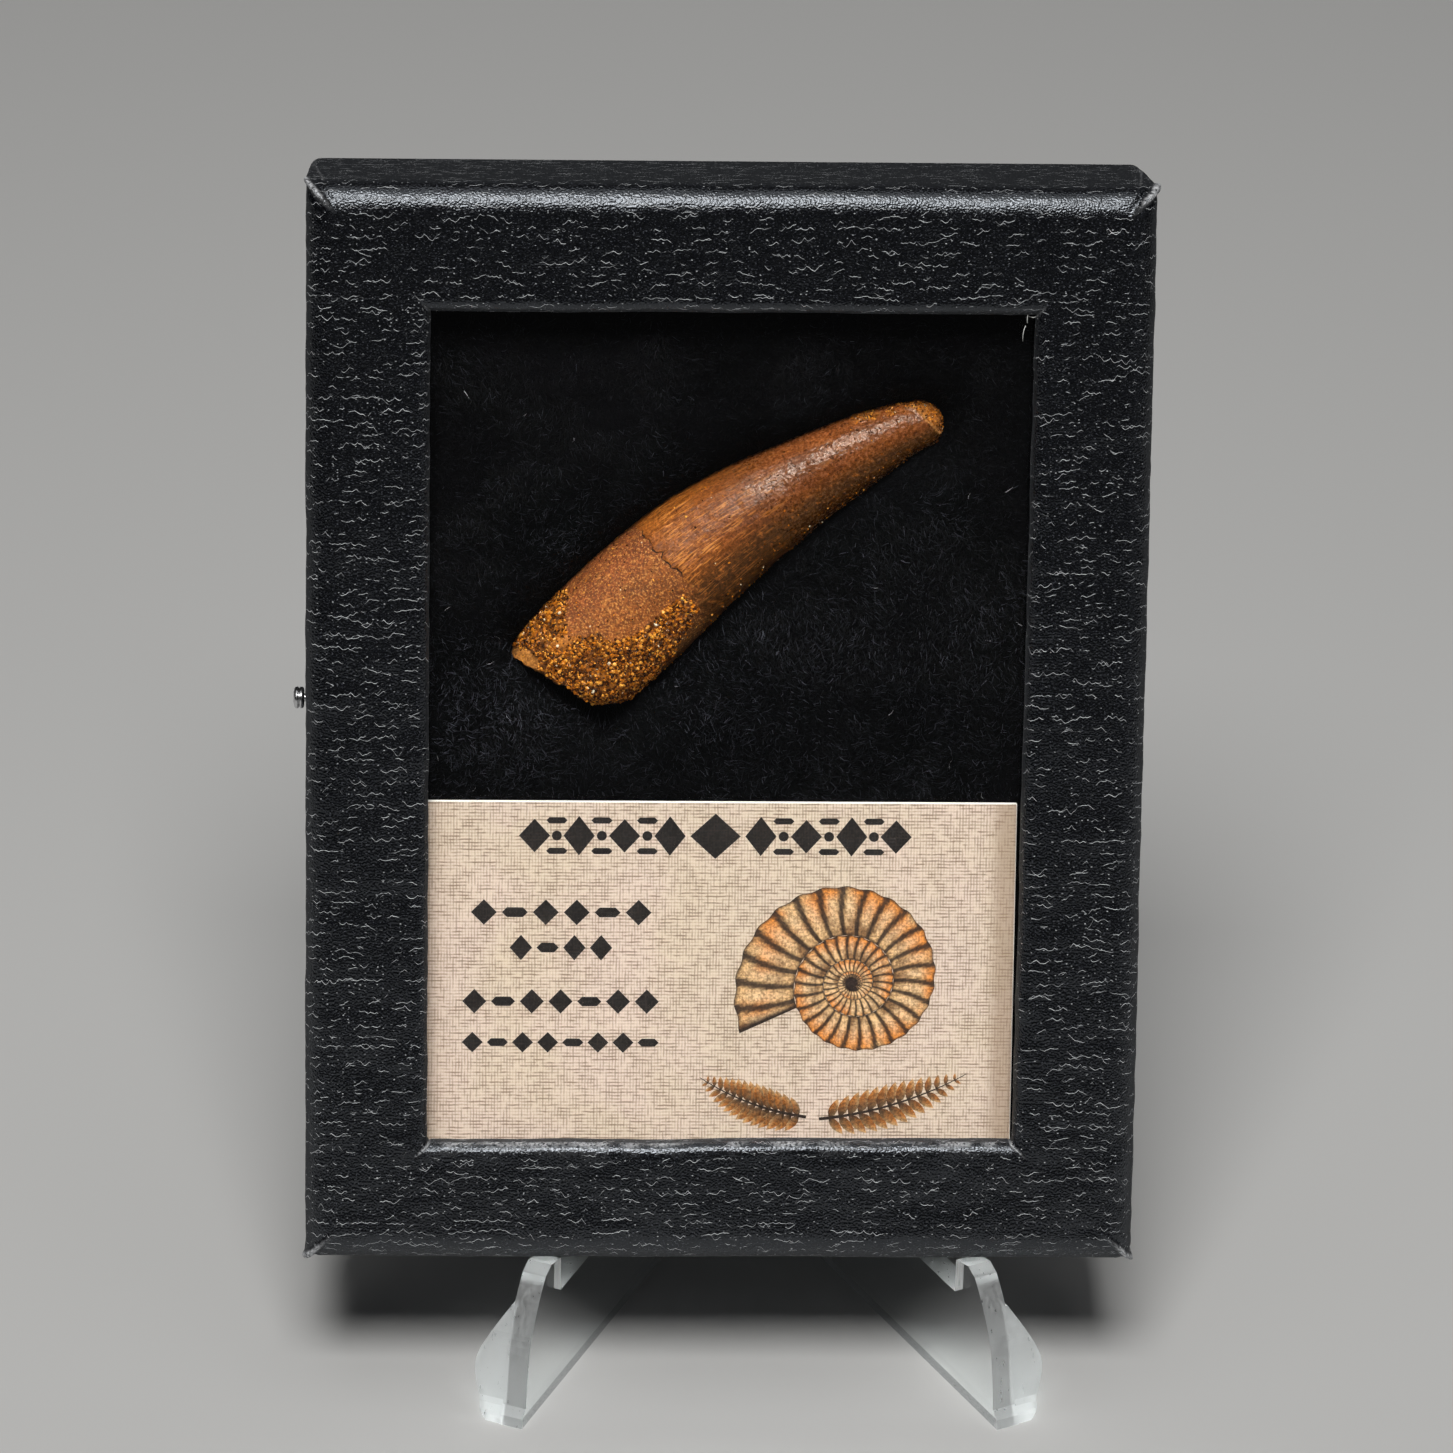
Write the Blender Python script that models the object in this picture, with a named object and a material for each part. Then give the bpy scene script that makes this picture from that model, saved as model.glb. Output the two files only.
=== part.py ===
"""A fossil tooth in a small glass-fronted case, leaning on a clear two-piece easel.

The front of the case faces -Y, the easel stands on z = 0 and the origin lies
under the middle of the whole object.
"""

from math import cos, pi, radians, sin, tan

import bmesh
import bpy
from mathutils import Vector, noise

MM = 0.001
GAP = 0.3 * MM

# Display case: x runs across it, y up its face and z out of its front, from the middle of the front
CASE_WIDTH = 82.55 * MM
CASE_HEIGHT = 107.95 * MM
CASE_DEPTH = 19.05 * MM
CASE_LEAN = radians(15)
CASE_CORNER_LIFT = 16.1 * MM
CASE_CORNER_SETBACK = 5.7 * MM

# Lid
LID_FRONT = 2.0 * MM
LID_WALL = 1.5 * MM
LID_REVEAL = 0.8 * MM
LID_EDGE_RADIUS = 2.2 * MM
LID_BACK_CORNER = 1.2 * MM
LID_EAR_CORNER = 0.3 * MM
WINDOW_WIDTH = 58.65 * MM
WINDOW_HEIGHT = 83.56 * MM
WINDOW_SHIFT = (0.12 * MM, -0.37 * MM)
WINDOW_EDGE_RADIUS = 1.2 * MM
ARC_STEPS = 5
CORNER_STEPS = 3

# Glass, tray and pad
GLASS_THICKNESS = 1.8 * MM
GLASS_CLEARANCE = 0.8 * MM
TRAY_WALL = 1.6 * MM
TRAY_CORNER = 0.8 * MM
PAD_FRONT = 5.2 * MM
PAD_ROUNDING = 2.5 * MM
PAD_HOLLOW_CLEARANCE = 0.7 * MM
PAD_HOLLOW_FLARE = 6.5 * MM
PAD_HOLLOW_STEPS = 10

# Label card
CARD_LEFT = -29.35 * MM
CARD_RIGHT = 28.9 * MM
CARD_TOP = -8.15 * MM
CARD_BOTTOM = -46.5 * MM
CARD_THICKNESS = 0.5 * MM
CARD_CORNER = 0.4 * MM

# Pin through the left wall of the lid
PIN_HEIGHT = 1.3 * MM
PIN_DEPTH = 9.6 * MM
PIN_HEAD_RADIUS = 1.1 * MM
PIN_HEAD_LENGTH = 1.1 * MM
PIN_COLLAR_RADIUS = 0.8 * MM
PIN_SHANK_RADIUS = 0.4 * MM
PIN_LENGTH = 9.0 * MM
PIN_HOLE_RADIUS = 0.75 * MM
PIN_SIDES = 16

# Tooth: where its axis runs on the case's face, and its half width there, in millimetres
TOOTH_STATIONS = (
    (-16.1, 2.9, 6.15),
    (-13.1, 6.4, 6.3),
    (-9.75, 9.65, 6.5),
    (-6.45, 12.85, 6.4),
    (-3.05, 15.9, 6.05),
    (0.5, 18.65, 5.6),
    (4.3, 21.25, 5.0),
    (8.55, 23.85, 4.3),
    (12.95, 26.35, 3.55),
    (16.9, 28.3, 2.8),
    (18.9, 29.0, 2.4),
)
TOOTH_AXIS_DEPTH = 10.4 * MM
TOOTH_FLATNESS = 0.82
TOOTH_SIDES = 44
TOOTH_RINGS = 46
TOOTH_TIP_RINGS = 5
BREAK_TILT = radians(6.5)
BREAK_ROUNDING = 1.6 * MM
BREAK_ROUGHNESS = 0.5 * MM
ENAMEL_START = 16.5 * MM
ENAMEL_STEP = 0.14 * MM
CRUST_REACH = {"outer": 6.5 * MM, "front": 3.6 * MM, "inner": 13.0 * MM, "back": 9.0 * MM}
CRUST_FADE = 1.4 * MM
CRUST_LUMP = 0.42 * MM
CRUST_LUMP_SIZE = 1.3 * MM
TIP_CRUST_START = 43.8 * MM
FACET_SIZE = 5.0 * MM
FACET_DEPTH = 0.12 * MM

# Easel: s runs back along a plate from its toe and z is height, in millimetres in the two lists
EASEL_THICKNESS = 2.5 * MM
EASEL_SPLAY = {-1: radians(24.2), 1: radians(26.2)}
EASEL_TOE_SPREAD = 23.8 * MM
EASEL_SHIFT = 4.2 * MM
EASEL_REAR = 68.0 * MM
EASEL_HEIGHT = 66.0 * MM
EASEL_TOP_WIDTH = 6.0 * MM
EASEL_TOP_CHAMFER = 1.5 * MM
EASEL_HEEL_RISE = 7.0 * MM
TOE_EDGE = (
    (0.0, 0.0),
    (0.2, 1.0),
    (1.0, 1.8),
    (1.25, 4.5),
    (1.9, 8.2),
    (2.8, 10.4),
    (4.3, 13.0),
    (5.6, 14.7),
)
LIP_FRONT = 7.0 * MM
LIP_BACK = 9.4 * MM
FIN_REACH = ((0.0, 1.5), (1.1, 2.3), (3.4, 3.0), (5.2, 3.3), (6.9, 3.0), (9.3, 1.8), (11.8, 0.3))
FIN_THICKNESS = 1.4 * MM
FIN_ROOT = 0.6 * MM
FIN_SETBACK = 0.12 * MM
SLOT_CLEARANCE = 0.3 * MM
SLOT_MIDDLE = 20.0 * MM
SLOT_PAST = 10.0 * MM

COLOURS = {
    "lid": ((0.018, 0.020, 0.024), 0.45, 0.0),
    "tray": ((0.020, 0.021, 0.024), 0.60, 0.0),
    "glass": ((0.92, 0.95, 0.95), 0.03, 0.0),
    "pad": ((0.006, 0.006, 0.007), 0.95, 0.0),
    "card": ((0.70, 0.62, 0.52), 0.70, 0.0),
    "tooth": ((0.22, 0.075, 0.025), 0.42, 0.0),
    "pin": ((0.55, 0.55, 0.57), 0.28, 1.0),
    "acrylic": ((0.90, 0.93, 0.94), 0.08, 0.0),
}


def clear_scene():
    for item in list(bpy.data.objects):
        bpy.data.objects.remove(item, do_unlink=True)


def make_material(name):
    colour, roughness, metallic = COLOURS[name]
    material = bpy.data.materials.new(name)
    material.use_nodes = True
    shader = material.node_tree.nodes["Principled BSDF"]
    shader.inputs["Base Color"].default_value = (*colour, 1.0)
    shader.inputs["Roughness"].default_value = roughness
    shader.inputs["Metallic"].default_value = metallic
    material.diffuse_color = (*colour, 1.0)
    return material


def make_empty(name, location, rotation):
    empty = bpy.data.objects.new(name, None)
    empty.location = location
    empty.rotation_euler = rotation
    bpy.context.scene.collection.objects.link(empty)
    return empty


def make_object(name, shape, material, parent=None, smooth_angle=None):
    bmesh.ops.recalc_face_normals(shape, faces=shape.faces)
    mesh = bpy.data.meshes.new(name)
    shape.to_mesh(mesh)
    shape.free()
    if smooth_angle is not None:
        mesh.shade_smooth()
        mesh.set_sharp_from_angle(angle=smooth_angle)
    item = bpy.data.objects.new(name, mesh)
    item.data.materials.append(material)
    bpy.context.scene.collection.objects.link(item)
    item.parent = parent
    return item


def combine(target, tool, operation):
    """Cut the tool from the target, or join the tool to it."""
    tool.hide_render = True
    tool.display_type = "WIRE"
    step = target.modifiers.new(tool.name, "BOOLEAN")
    step.operation = operation
    step.solver = "EXACT"
    step.object = tool


def loft(rings, close_ends=True, wrap=False):
    """Skin equal rings of points, with a face over each end or back round to the first ring."""
    shape = bmesh.new()
    loops = [[shape.verts.new(point) for point in ring] for ring in rings]
    pairs = list(zip(loops, loops[1:]))
    if wrap:
        pairs.append((loops[-1], loops[0]))
    count = len(loops[0])
    for near, far in pairs:
        for i in range(count):
            j = (i + 1) % count
            shape.faces.new((near[i], near[j], far[j], far[i]))
    if close_ends and not wrap:
        shape.faces.new(loops[0])
        shape.faces.new(loops[-1])
    return shape


def rounded_rectangle(left, right, bottom, top, depth, corner):
    """A ring of points round a rectangle whose corners are small arcs."""
    centres = (
        (right - corner, top - corner, 0.0),
        (left + corner, top - corner, 0.5 * pi),
        (left + corner, bottom + corner, pi),
        (right - corner, bottom + corner, 1.5 * pi),
    )
    ring = []
    for x, y, start in centres:
        for step in range(CORNER_STEPS):
            angle = start + 0.5 * pi * step / (CORNER_STEPS - 1)
            ring.append(Vector((x + corner * cos(angle), y + corner * sin(angle), depth)))
    return ring


def centred_ring(inset, depth, corner):
    """A ring round the case's outline, moved in by an inset."""
    half_width = 0.5 * CASE_WIDTH - inset
    half_height = 0.5 * CASE_HEIGHT - inset
    return rounded_rectangle(-half_width, half_width, -half_height, half_height, depth, corner)


def window_ring(outset, depth):
    """A ring round the lid's window, moved out by an outset."""
    x, y = WINDOW_SHIFT
    half_width = 0.5 * WINDOW_WIDTH + outset
    half_height = 0.5 * WINDOW_HEIGHT + outset
    return rounded_rectangle(
        x - half_width, x + half_width, y - half_height, y + half_height, depth, LID_EAR_CORNER
    )


def toe_y():
    """Where the toes stand, so that the easel's plates are centred front to back."""
    splay = min(EASEL_SPLAY.values())
    depth = EASEL_REAR * cos(splay) + EASEL_THICKNESS * sin(splay)
    return -0.5 * depth


def case_location():
    """The middle of the case's front face, in the object's frame."""
    pin_reach = GAP + PIN_HEAD_LENGTH
    half_height = 0.5 * CASE_HEIGHT
    x = 0.5 * pin_reach
    y = toe_y() + CASE_CORNER_SETBACK + half_height * sin(CASE_LEAN)
    z = CASE_CORNER_LIFT + half_height * cos(CASE_LEAN)
    return Vector((x, y, z))


def glass_back():
    return LID_FRONT + GAP + GLASS_THICKNESS


def round_cutter(name, parent, radius, x_from, x_to, y, depth):
    """A round bar along x, used to make the pin's holes."""
    rings = []
    for x in (x_from, x_to):
        ring = []
        for i in range(PIN_SIDES):
            angle = 2 * pi * i / PIN_SIDES
            ring.append(Vector((x, y + radius * cos(angle), -depth + radius * sin(angle))))
        rings.append(ring)
    return make_object(name, loft(rings), make_material("pin"), parent)


def build_lid(case, pin_hole):
    """A covered board lid: a skirt, rounded front edges and a framed window."""
    back = -(CASE_DEPTH - LID_REVEAL)
    rings = [
        centred_ring(0.0, back, LID_BACK_CORNER),
        centred_ring(0.0, -3.0 * LID_EDGE_RADIUS, 0.7 * LID_BACK_CORNER),
    ]
    for step in range(ARC_STEPS + 1):
        angle = 0.5 * pi * step / ARC_STEPS
        inset = LID_EDGE_RADIUS * (1 - cos(angle))
        depth = -LID_EDGE_RADIUS * (1 - sin(angle))
        rings.append(centred_ring(inset, depth, LID_EAR_CORNER))
    for step in range(ARC_STEPS + 1):
        angle = 0.5 * pi * step / ARC_STEPS
        outset = WINDOW_EDGE_RADIUS * (1 - sin(angle))
        depth = -WINDOW_EDGE_RADIUS * (1 - cos(angle))
        rings.append(window_ring(outset, depth))
    rings.append(window_ring(0.0, -LID_FRONT))
    rings.append(centred_ring(LID_WALL, -LID_FRONT, TRAY_CORNER))
    rings.append(centred_ring(LID_WALL, back, TRAY_CORNER))
    lid = make_object("lid", loft(rings, wrap=True), make_material("lid"), case, radians(30))
    combine(lid, pin_hole, "DIFFERENCE")


def build_tray(case, pin_hole):
    """The open tray that the lid slips over."""
    outer = LID_WALL + GAP
    inner = outer + TRAY_WALL
    rim = -(glass_back() + GAP)
    rings = [
        centred_ring(outer, -CASE_DEPTH, TRAY_CORNER),
        centred_ring(outer, rim, TRAY_CORNER),
        centred_ring(inner, rim, TRAY_CORNER),
        centred_ring(inner, -CASE_DEPTH + TRAY_WALL, TRAY_CORNER),
    ]
    tray = make_object("tray", loft(rings), make_material("tray"), case)
    combine(tray, pin_hole, "DIFFERENCE")


def build_glass(case):
    inset = LID_WALL + GLASS_CLEARANCE
    front = -(LID_FRONT + GAP)
    rings = [centred_ring(inset, depth, TRAY_CORNER) for depth in (-glass_back(), front)]
    make_object("glass_pane", loft(rings), make_material("glass"), case)


def build_card(case):
    """The label card, flat behind the lower part of the glass."""
    front = -(glass_back() + GAP)
    rings = []
    for depth in (front - CARD_THICKNESS, front):
        rings.append(rounded_rectangle(CARD_LEFT, CARD_RIGHT, CARD_BOTTOM, CARD_TOP, depth, CARD_CORNER))
    make_object("label_card", loft(rings), make_material("card"), case)


def build_pin(case):
    """A small steel pin: a domed head on a collar and a pointed shank."""
    wall = -0.5 * CASE_WIDTH
    tip = wall + PIN_LENGTH
    profile = (
        (wall - GAP - PIN_HEAD_LENGTH, 0.45 * PIN_HEAD_RADIUS),
        (wall - GAP - 0.86 * PIN_HEAD_LENGTH, 0.85 * PIN_HEAD_RADIUS),
        (wall - GAP - 0.62 * PIN_HEAD_LENGTH, PIN_HEAD_RADIUS),
        (wall - GAP - 0.4 * PIN_HEAD_LENGTH, 0.94 * PIN_HEAD_RADIUS),
        (wall - GAP - 0.28 * PIN_HEAD_LENGTH, PIN_COLLAR_RADIUS),
        (wall - GAP, PIN_COLLAR_RADIUS),
        (wall - GAP, PIN_SHANK_RADIUS),
        (tip - 4 * PIN_SHANK_RADIUS, PIN_SHANK_RADIUS),
        (tip, 0.15 * PIN_SHANK_RADIUS),
    )
    rings = []
    for x, radius in profile:
        ring = []
        for i in range(PIN_SIDES):
            angle = 2 * pi * i / PIN_SIDES
            ring.append(Vector((x, PIN_HEIGHT + radius * cos(angle), -PIN_DEPTH + radius * sin(angle))))
        rings.append(ring)
    make_object("lid_pin", loft(rings), make_material("pin"), case, radians(40))


def blend(a, b, c, d, t):
    """A smooth value between b and c, led in and out by a and d."""
    return 0.5 * (
        2 * b + (c - a) * t + (2 * a - 5 * b + 4 * c - d) * t**2 + (3 * b - a - 3 * c + d) * t**3
    )


def tooth_station(position):
    """The axis point and half width at a position counted in stations."""
    last = len(TOOTH_STATIONS) - 1
    start = min(int(position), last - 1)
    picks = [TOOTH_STATIONS[min(max(start + k, 0), last)] for k in (-1, 0, 1, 2)]
    values = [blend(*(pick[i] for pick in picks), position - start) * MM for i in range(3)]
    return Vector((values[0], values[1], -TOOTH_AXIS_DEPTH)), values[2]


def tooth_axis():
    """Points along the tooth's axis, each with its direction, half width and length so far."""
    last = len(TOOTH_STATIONS) - 1
    step = last / TOOTH_RINGS
    samples = [tooth_station(i * step) for i in range(TOOTH_RINGS + 1)]
    axis = []
    length = 0.0
    for i, (centre, width) in enumerate(samples):
        before = samples[max(i - 1, 0)][0]
        after = samples[min(i + 1, TOOTH_RINGS)][0]
        if i:
            length += (centre - before).length
        axis.append((centre, (after - before).normalized(), width, length))
    return axis


def fade(value):
    """Zero below 0, one above 1 and smooth between."""
    t = min(max(value, 0.0), 1.0)
    return t * t * (3 - 2 * t)


def crust_share(along, angle):
    """How much sandy crust covers the tooth at a length from the break, round its section."""
    across = cos(angle)
    outward = sin(angle)
    side = CRUST_REACH["outer"] if across > 0 else CRUST_REACH["inner"]
    face = CRUST_REACH["front"] if outward > 0 else CRUST_REACH["back"]
    reach = side * across**2 + face * outward**2
    base = fade((reach - along) / CRUST_FADE + 0.5)
    tip = fade((along - TIP_CRUST_START) / CRUST_FADE)
    return max(base, tip)


def surface_lift(point, along, angle):
    """How far the real surface stands off the plain cone."""
    crust = crust_share(along, angle)
    lumps = noise.noise(point / CRUST_LUMP_SIZE) + 0.5 * noise.noise(2.3 * point / CRUST_LUMP_SIZE)
    facets = noise.noise(point / FACET_SIZE) * FACET_DEPTH
    enamel = ENAMEL_STEP * (fade((along - ENAMEL_START) / (0.4 * MM)) - 0.5)
    return crust * CRUST_LUMP * (lumps + 0.35) + (1 - crust) * (facets + enamel)


def tooth_rings():
    """Rings from the broken base to the blunt tip."""
    axis = tooth_axis()
    rings = []
    out = Vector((0, 0, 1))
    for centre, direction, width, along in axis:
        tilt = BREAK_TILT * (1 - fade(along / (12 * MM)))
        rounding = BREAK_ROUNDING * max(0.0, 1 - along / BREAK_ROUNDING)
        squeeze = rounding**2 / (2 * BREAK_ROUNDING)
        side = out.cross(direction)
        side = side * cos(tilt) - direction * sin(tilt)
        ring = []
        for i in range(TOOTH_SIDES):
            angle = 2 * pi * i / TOOTH_SIDES
            inner_side = 0.5 - 0.5 * cos(angle)
            reach = width - squeeze * (0.3 + 1.7 * inner_side)
            offset = side * cos(angle) * reach + out * sin(angle) * reach * TOOTH_FLATNESS
            point = centre + offset
            point += offset.normalized() * surface_lift(point, along, angle)
            if along < BREAK_ROUNDING:
                point += direction * BREAK_ROUGHNESS * noise.noise(point / CRUST_LUMP_SIZE)
            ring.append(point)
        rings.append(ring)
    centre, direction, width, along = axis[-1]
    side = out.cross(direction)
    for step in range(1, TOOTH_TIP_RINGS):
        turn = 0.5 * pi * step / TOOTH_TIP_RINGS
        ring = []
        for i in range(TOOTH_SIDES):
            angle = 2 * pi * i / TOOTH_SIDES
            reach = width * cos(turn)
            offset = side * cos(angle) * reach + out * sin(angle) * reach * TOOTH_FLATNESS
            point = centre + offset + direction * width * sin(turn)
            lift = surface_lift(point, along + width * sin(turn), angle)
            ring.append(point + (point - centre).normalized() * lift)
        rings.append(ring)
    return rings


def close_with_cone(shape, loop, peak):
    top = shape.verts.new(peak)
    for i, vert in enumerate(loop):
        shape.faces.new((vert, loop[(i + 1) % len(loop)], top))


def build_tooth(case):
    """The curved tooth, broken off at the base, worn at the tip and crusted at both ends."""
    rings = tooth_rings()
    middle = sum(rings[0], Vector()) / TOOTH_SIDES
    direction = tooth_axis()[0][1]
    break_rings = []
    for share in (0.45, 0.75):
        ring = []
        for point in rings[0]:
            inner = middle.lerp(point, share)
            bump = noise.noise(inner / CRUST_LUMP_SIZE) + 0.4 * (1 - share)
            ring.append(inner - direction * BREAK_ROUGHNESS * bump)
        break_rings.append(ring)
    shape = loft(break_rings + rings, close_ends=False)
    shape.verts.ensure_lookup_table()
    total = len(shape.verts)
    first = [shape.verts[i] for i in range(TOOTH_SIDES)]
    last = [shape.verts[i] for i in range(total - TOOTH_SIDES, total)]
    close_with_cone(shape, first, middle - direction * 0.5 * BREAK_ROUGHNESS)
    tip_centre, tip_direction, tip_width, _ = tooth_axis()[-1]
    close_with_cone(shape, last, tip_centre + tip_direction * tip_width)
    make_object("tooth", shape, make_material("tooth"), case, radians(40))


def hollow_ring(centre, direction, width, sink):
    """A section of the pad's trough: a round bed for the tooth that flares out to the pad's front."""
    out = Vector((0, 0, 1))
    side = out.cross(direction)
    level = TOOTH_AXIS_DEPTH - PAD_FRONT
    reach = width + PAD_HOLLOW_CLEARANCE
    ring = []
    for i in range(PAD_HOLLOW_STEPS + 1):
        angle = -pi * i / PAD_HOLLOW_STEPS
        bed = reach * TOOTH_FLATNESS * sin(angle)
        rise = level - GAP + (bed - level + GAP) * sink
        ring.append(centre + side * reach * cos(angle) + out * rise)
    flare = reach + PAD_HOLLOW_FLARE * sink
    for across, rise in ((-flare, level), (-flare, level + MM), (flare, level + MM), (flare, level)):
        ring.append(centre + side * across + out * rise)
    return ring


def build_pad_hollow(case):
    """A trough in the shape of the tooth, open to the front, that the tooth beds into."""
    axis = tooth_axis()[::4]
    start, direction, width, _ = axis[0]
    edge = BREAK_ROUGHNESS + 1.2 * MM
    rings = [
        hollow_ring(start - direction * (edge + PAD_HOLLOW_FLARE), direction, 0.6 * width, 0.05),
        hollow_ring(start - direction * edge, direction, width, 1.0),
    ]
    rings += [hollow_ring(centre, direction, width, 1.0) for centre, direction, width, _ in axis]
    end, direction, width, _ = axis[-1]
    rings += [
        hollow_ring(end + direction * 0.75 * width, direction, 0.75 * width, 1.0),
        hollow_ring(end + direction * (width + PAD_HOLLOW_CLEARANCE), direction, 0.3 * width, 1.0),
        hollow_ring(end + direction * (width + PAD_HOLLOW_FLARE), direction, 0.3 * width, 0.05),
    ]
    return make_object("pad_hollow", loft(rings), make_material("pad"), case)


def build_pad(case, pin_hole):
    """The soft pad that fills the tray, with rounded front edges."""
    inset = LID_WALL + GAP + TRAY_WALL + GAP
    back = -CASE_DEPTH + TRAY_WALL + GAP
    rings = [centred_ring(inset, back, TRAY_CORNER)]
    for step in range(ARC_STEPS):
        angle = 0.5 * pi * step / (ARC_STEPS - 1)
        pull = PAD_ROUNDING * (1 - cos(angle))
        depth = -PAD_FRONT - PAD_ROUNDING * (1 - sin(angle))
        rings.append(centred_ring(inset + pull, depth, TRAY_CORNER))
    pad = make_object("velvet_pad", loft(rings), make_material("pad"), case)
    combine(pad, build_pad_hollow(case), "DIFFERENCE")
    combine(pad, pin_hole, "DIFFERENCE")


def case_back_y(height):
    """How far back the leaning back of the case is at a height."""
    origin = case_location()
    up_face = (height - origin.z + CASE_DEPTH * sin(CASE_LEAN)) / cos(CASE_LEAN)
    return origin.y + up_face * sin(CASE_LEAN) + CASE_DEPTH * cos(CASE_LEAN)


def upright_setback(height, splay):
    """How far back along a plate its upright edge is, just clear of the case."""
    clear = case_back_y(height) + GAP / cos(CASE_LEAN) - toe_y()
    return clear / cos(splay)


def lip_height(setback, splay):
    """The height of the case's sloping underside over a point of the lip, less a small gap."""
    run = setback * cos(splay) + EASEL_THICKNESS * sin(splay) - CASE_CORNER_SETBACK
    return CASE_CORNER_LIFT - run * tan(CASE_LEAN) - GAP / cos(CASE_LEAN)


def easel_outline(splay):
    """A plate's side outline: toe, lip, notch, leaning upright and sloping heel."""
    floor = CASE_CORNER_LIFT - (CASE_DEPTH - LID_REVEAL) * sin(CASE_LEAN) - GAP
    chamfer = EASEL_TOP_CHAMFER
    shoulder = EASEL_HEIGHT - chamfer
    top_front = upright_setback(EASEL_HEIGHT, splay)
    top_back = top_front + EASEL_TOP_WIDTH
    outline = [(s * MM, z * MM) for s, z in TOE_EDGE]
    outline += [
        (LIP_FRONT, lip_height(LIP_FRONT, splay)),
        (LIP_BACK, lip_height(LIP_BACK, splay)),
        (LIP_BACK, floor),
        (upright_setback(floor, splay), floor),
        (upright_setback(shoulder, splay), shoulder),
        (top_front + chamfer, EASEL_HEIGHT),
        (top_back - chamfer, EASEL_HEIGHT),
        (top_back, shoulder),
        (EASEL_REAR, EASEL_HEEL_RISE),
        (EASEL_REAR, 0.0),
    ]
    return outline


def toe_setback(height):
    """How far back the toe's curved front edge is at a height."""
    points = [(s * MM, z * MM) for s, z in TOE_EDGE]
    for (s0, z0), (s1, z1) in zip(points, points[1:]):
        if z0 <= height <= z1:
            return s0 + (s1 - s0) * (height - z0) / (z1 - z0)
    return points[-1][0]


def crossing(side):
    """How far back along one plate the middle of the other crosses it."""
    near = EASEL_SPLAY[side]
    far = EASEL_SPLAY[-side]
    half = 0.5 * EASEL_THICKNESS
    width = 2 * EASEL_TOE_SPREAD + half * (cos(near) + cos(far))
    setback = half * (sin(far) - sin(near))
    return (width * cos(far) + setback * sin(far)) / sin(near + far)


def build_fin(name, stand, outward):
    """The thin curved fin that widens a toe on its outer side."""
    rings = []
    root = outward * (EASEL_THICKNESS - FIN_ROOT)
    for height, reach in FIN_REACH:
        z = height * MM
        front = toe_setback(z) + FIN_SETBACK
        back = front + FIN_THICKNESS
        rim = outward * (EASEL_THICKNESS + reach * MM)
        corners = ((front, root), (front, rim), (back, rim), (back, root))
        rings.append([Vector((x, y, z)) for x, y in corners])
    return make_object(name, loft(rings), make_material("acrylic"), stand)


def build_slot(name, stand, side, rises):
    """The room that a plate needs where it slips through the other one's half-height slot."""
    front = crossing(side) - SLOT_PAST
    back = crossing(side) + SLOT_PAST
    inner = side * SLOT_CLEARANCE
    outer = -side * (EASEL_THICKNESS + SLOT_CLEARANCE)
    corners = ((front, inner), (back, inner), (back, outer), (front, outer))
    low = SLOT_MIDDLE - 0.5 * GAP if rises else -SLOT_PAST
    high = EASEL_HEIGHT if rises else SLOT_MIDDLE + 0.5 * GAP
    rings = [[Vector((x, y, z)) for x, y in corners] for z in (low, high)]
    return make_object(name, loft(rings), make_material("acrylic"), stand)


def make_stand(side):
    """The inner corner of a toe, from which a plate runs back; -1 is the left one, +1 the right."""
    x = case_location().x + EASEL_SHIFT + side * EASEL_TOE_SPREAD
    turn = radians(90) + side * EASEL_SPLAY[side]
    name = "left_toe" if side < 0 else "right_toe"
    return make_empty(name, (x, toe_y(), 0), (0, 0, turn))


def build_easel_plate(name, side, stands):
    """One clear plate, standing on edge, with its fin and its half of the crossed slots."""
    outward = -side
    stand = stands[side]
    outline = easel_outline(EASEL_SPLAY[side])
    faces = (0.0, outward * EASEL_THICKNESS)
    rings = [[Vector((s, y, z)) for s, z in outline] for y in faces]
    plate = make_object(name, loft(rings), make_material("acrylic"), stand)
    combine(plate, build_fin(name + "_fin", stand, outward), "UNION")
    slot = build_slot(name + "_slot", stands[-side], -side, rises=side < 0)
    combine(plate, slot, "DIFFERENCE")


def build():
    clear_scene()
    case = make_empty("display_case", case_location(), (radians(90) - CASE_LEAN, 0, 0))
    left = -0.5 * CASE_WIDTH
    pin_hole = round_cutter(
        "pin_hole", case, PIN_HOLE_RADIUS, left - 5 * MM, left + PIN_LENGTH + MM, PIN_HEIGHT, PIN_DEPTH
    )
    build_tray(case, pin_hole)
    build_lid(case, pin_hole)
    build_glass(case)
    build_pad(case, pin_hole)
    build_card(case)
    build_tooth(case)
    build_pin(case)
    stands = {side: make_stand(side) for side in (-1, 1)}
    build_easel_plate("easel_left", -1, stands)
    build_easel_plate("easel_right", 1, stands)


build()
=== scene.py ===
"""Looks for a fossil tooth in a small glass-fronted case that leans on a clear two-plate easel."""

from math import cos, pi, radians, sin, tan
from types import SimpleNamespace

import bmesh
import bpy
import numpy as np
from mathutils import Euler, Matrix, Vector


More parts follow.
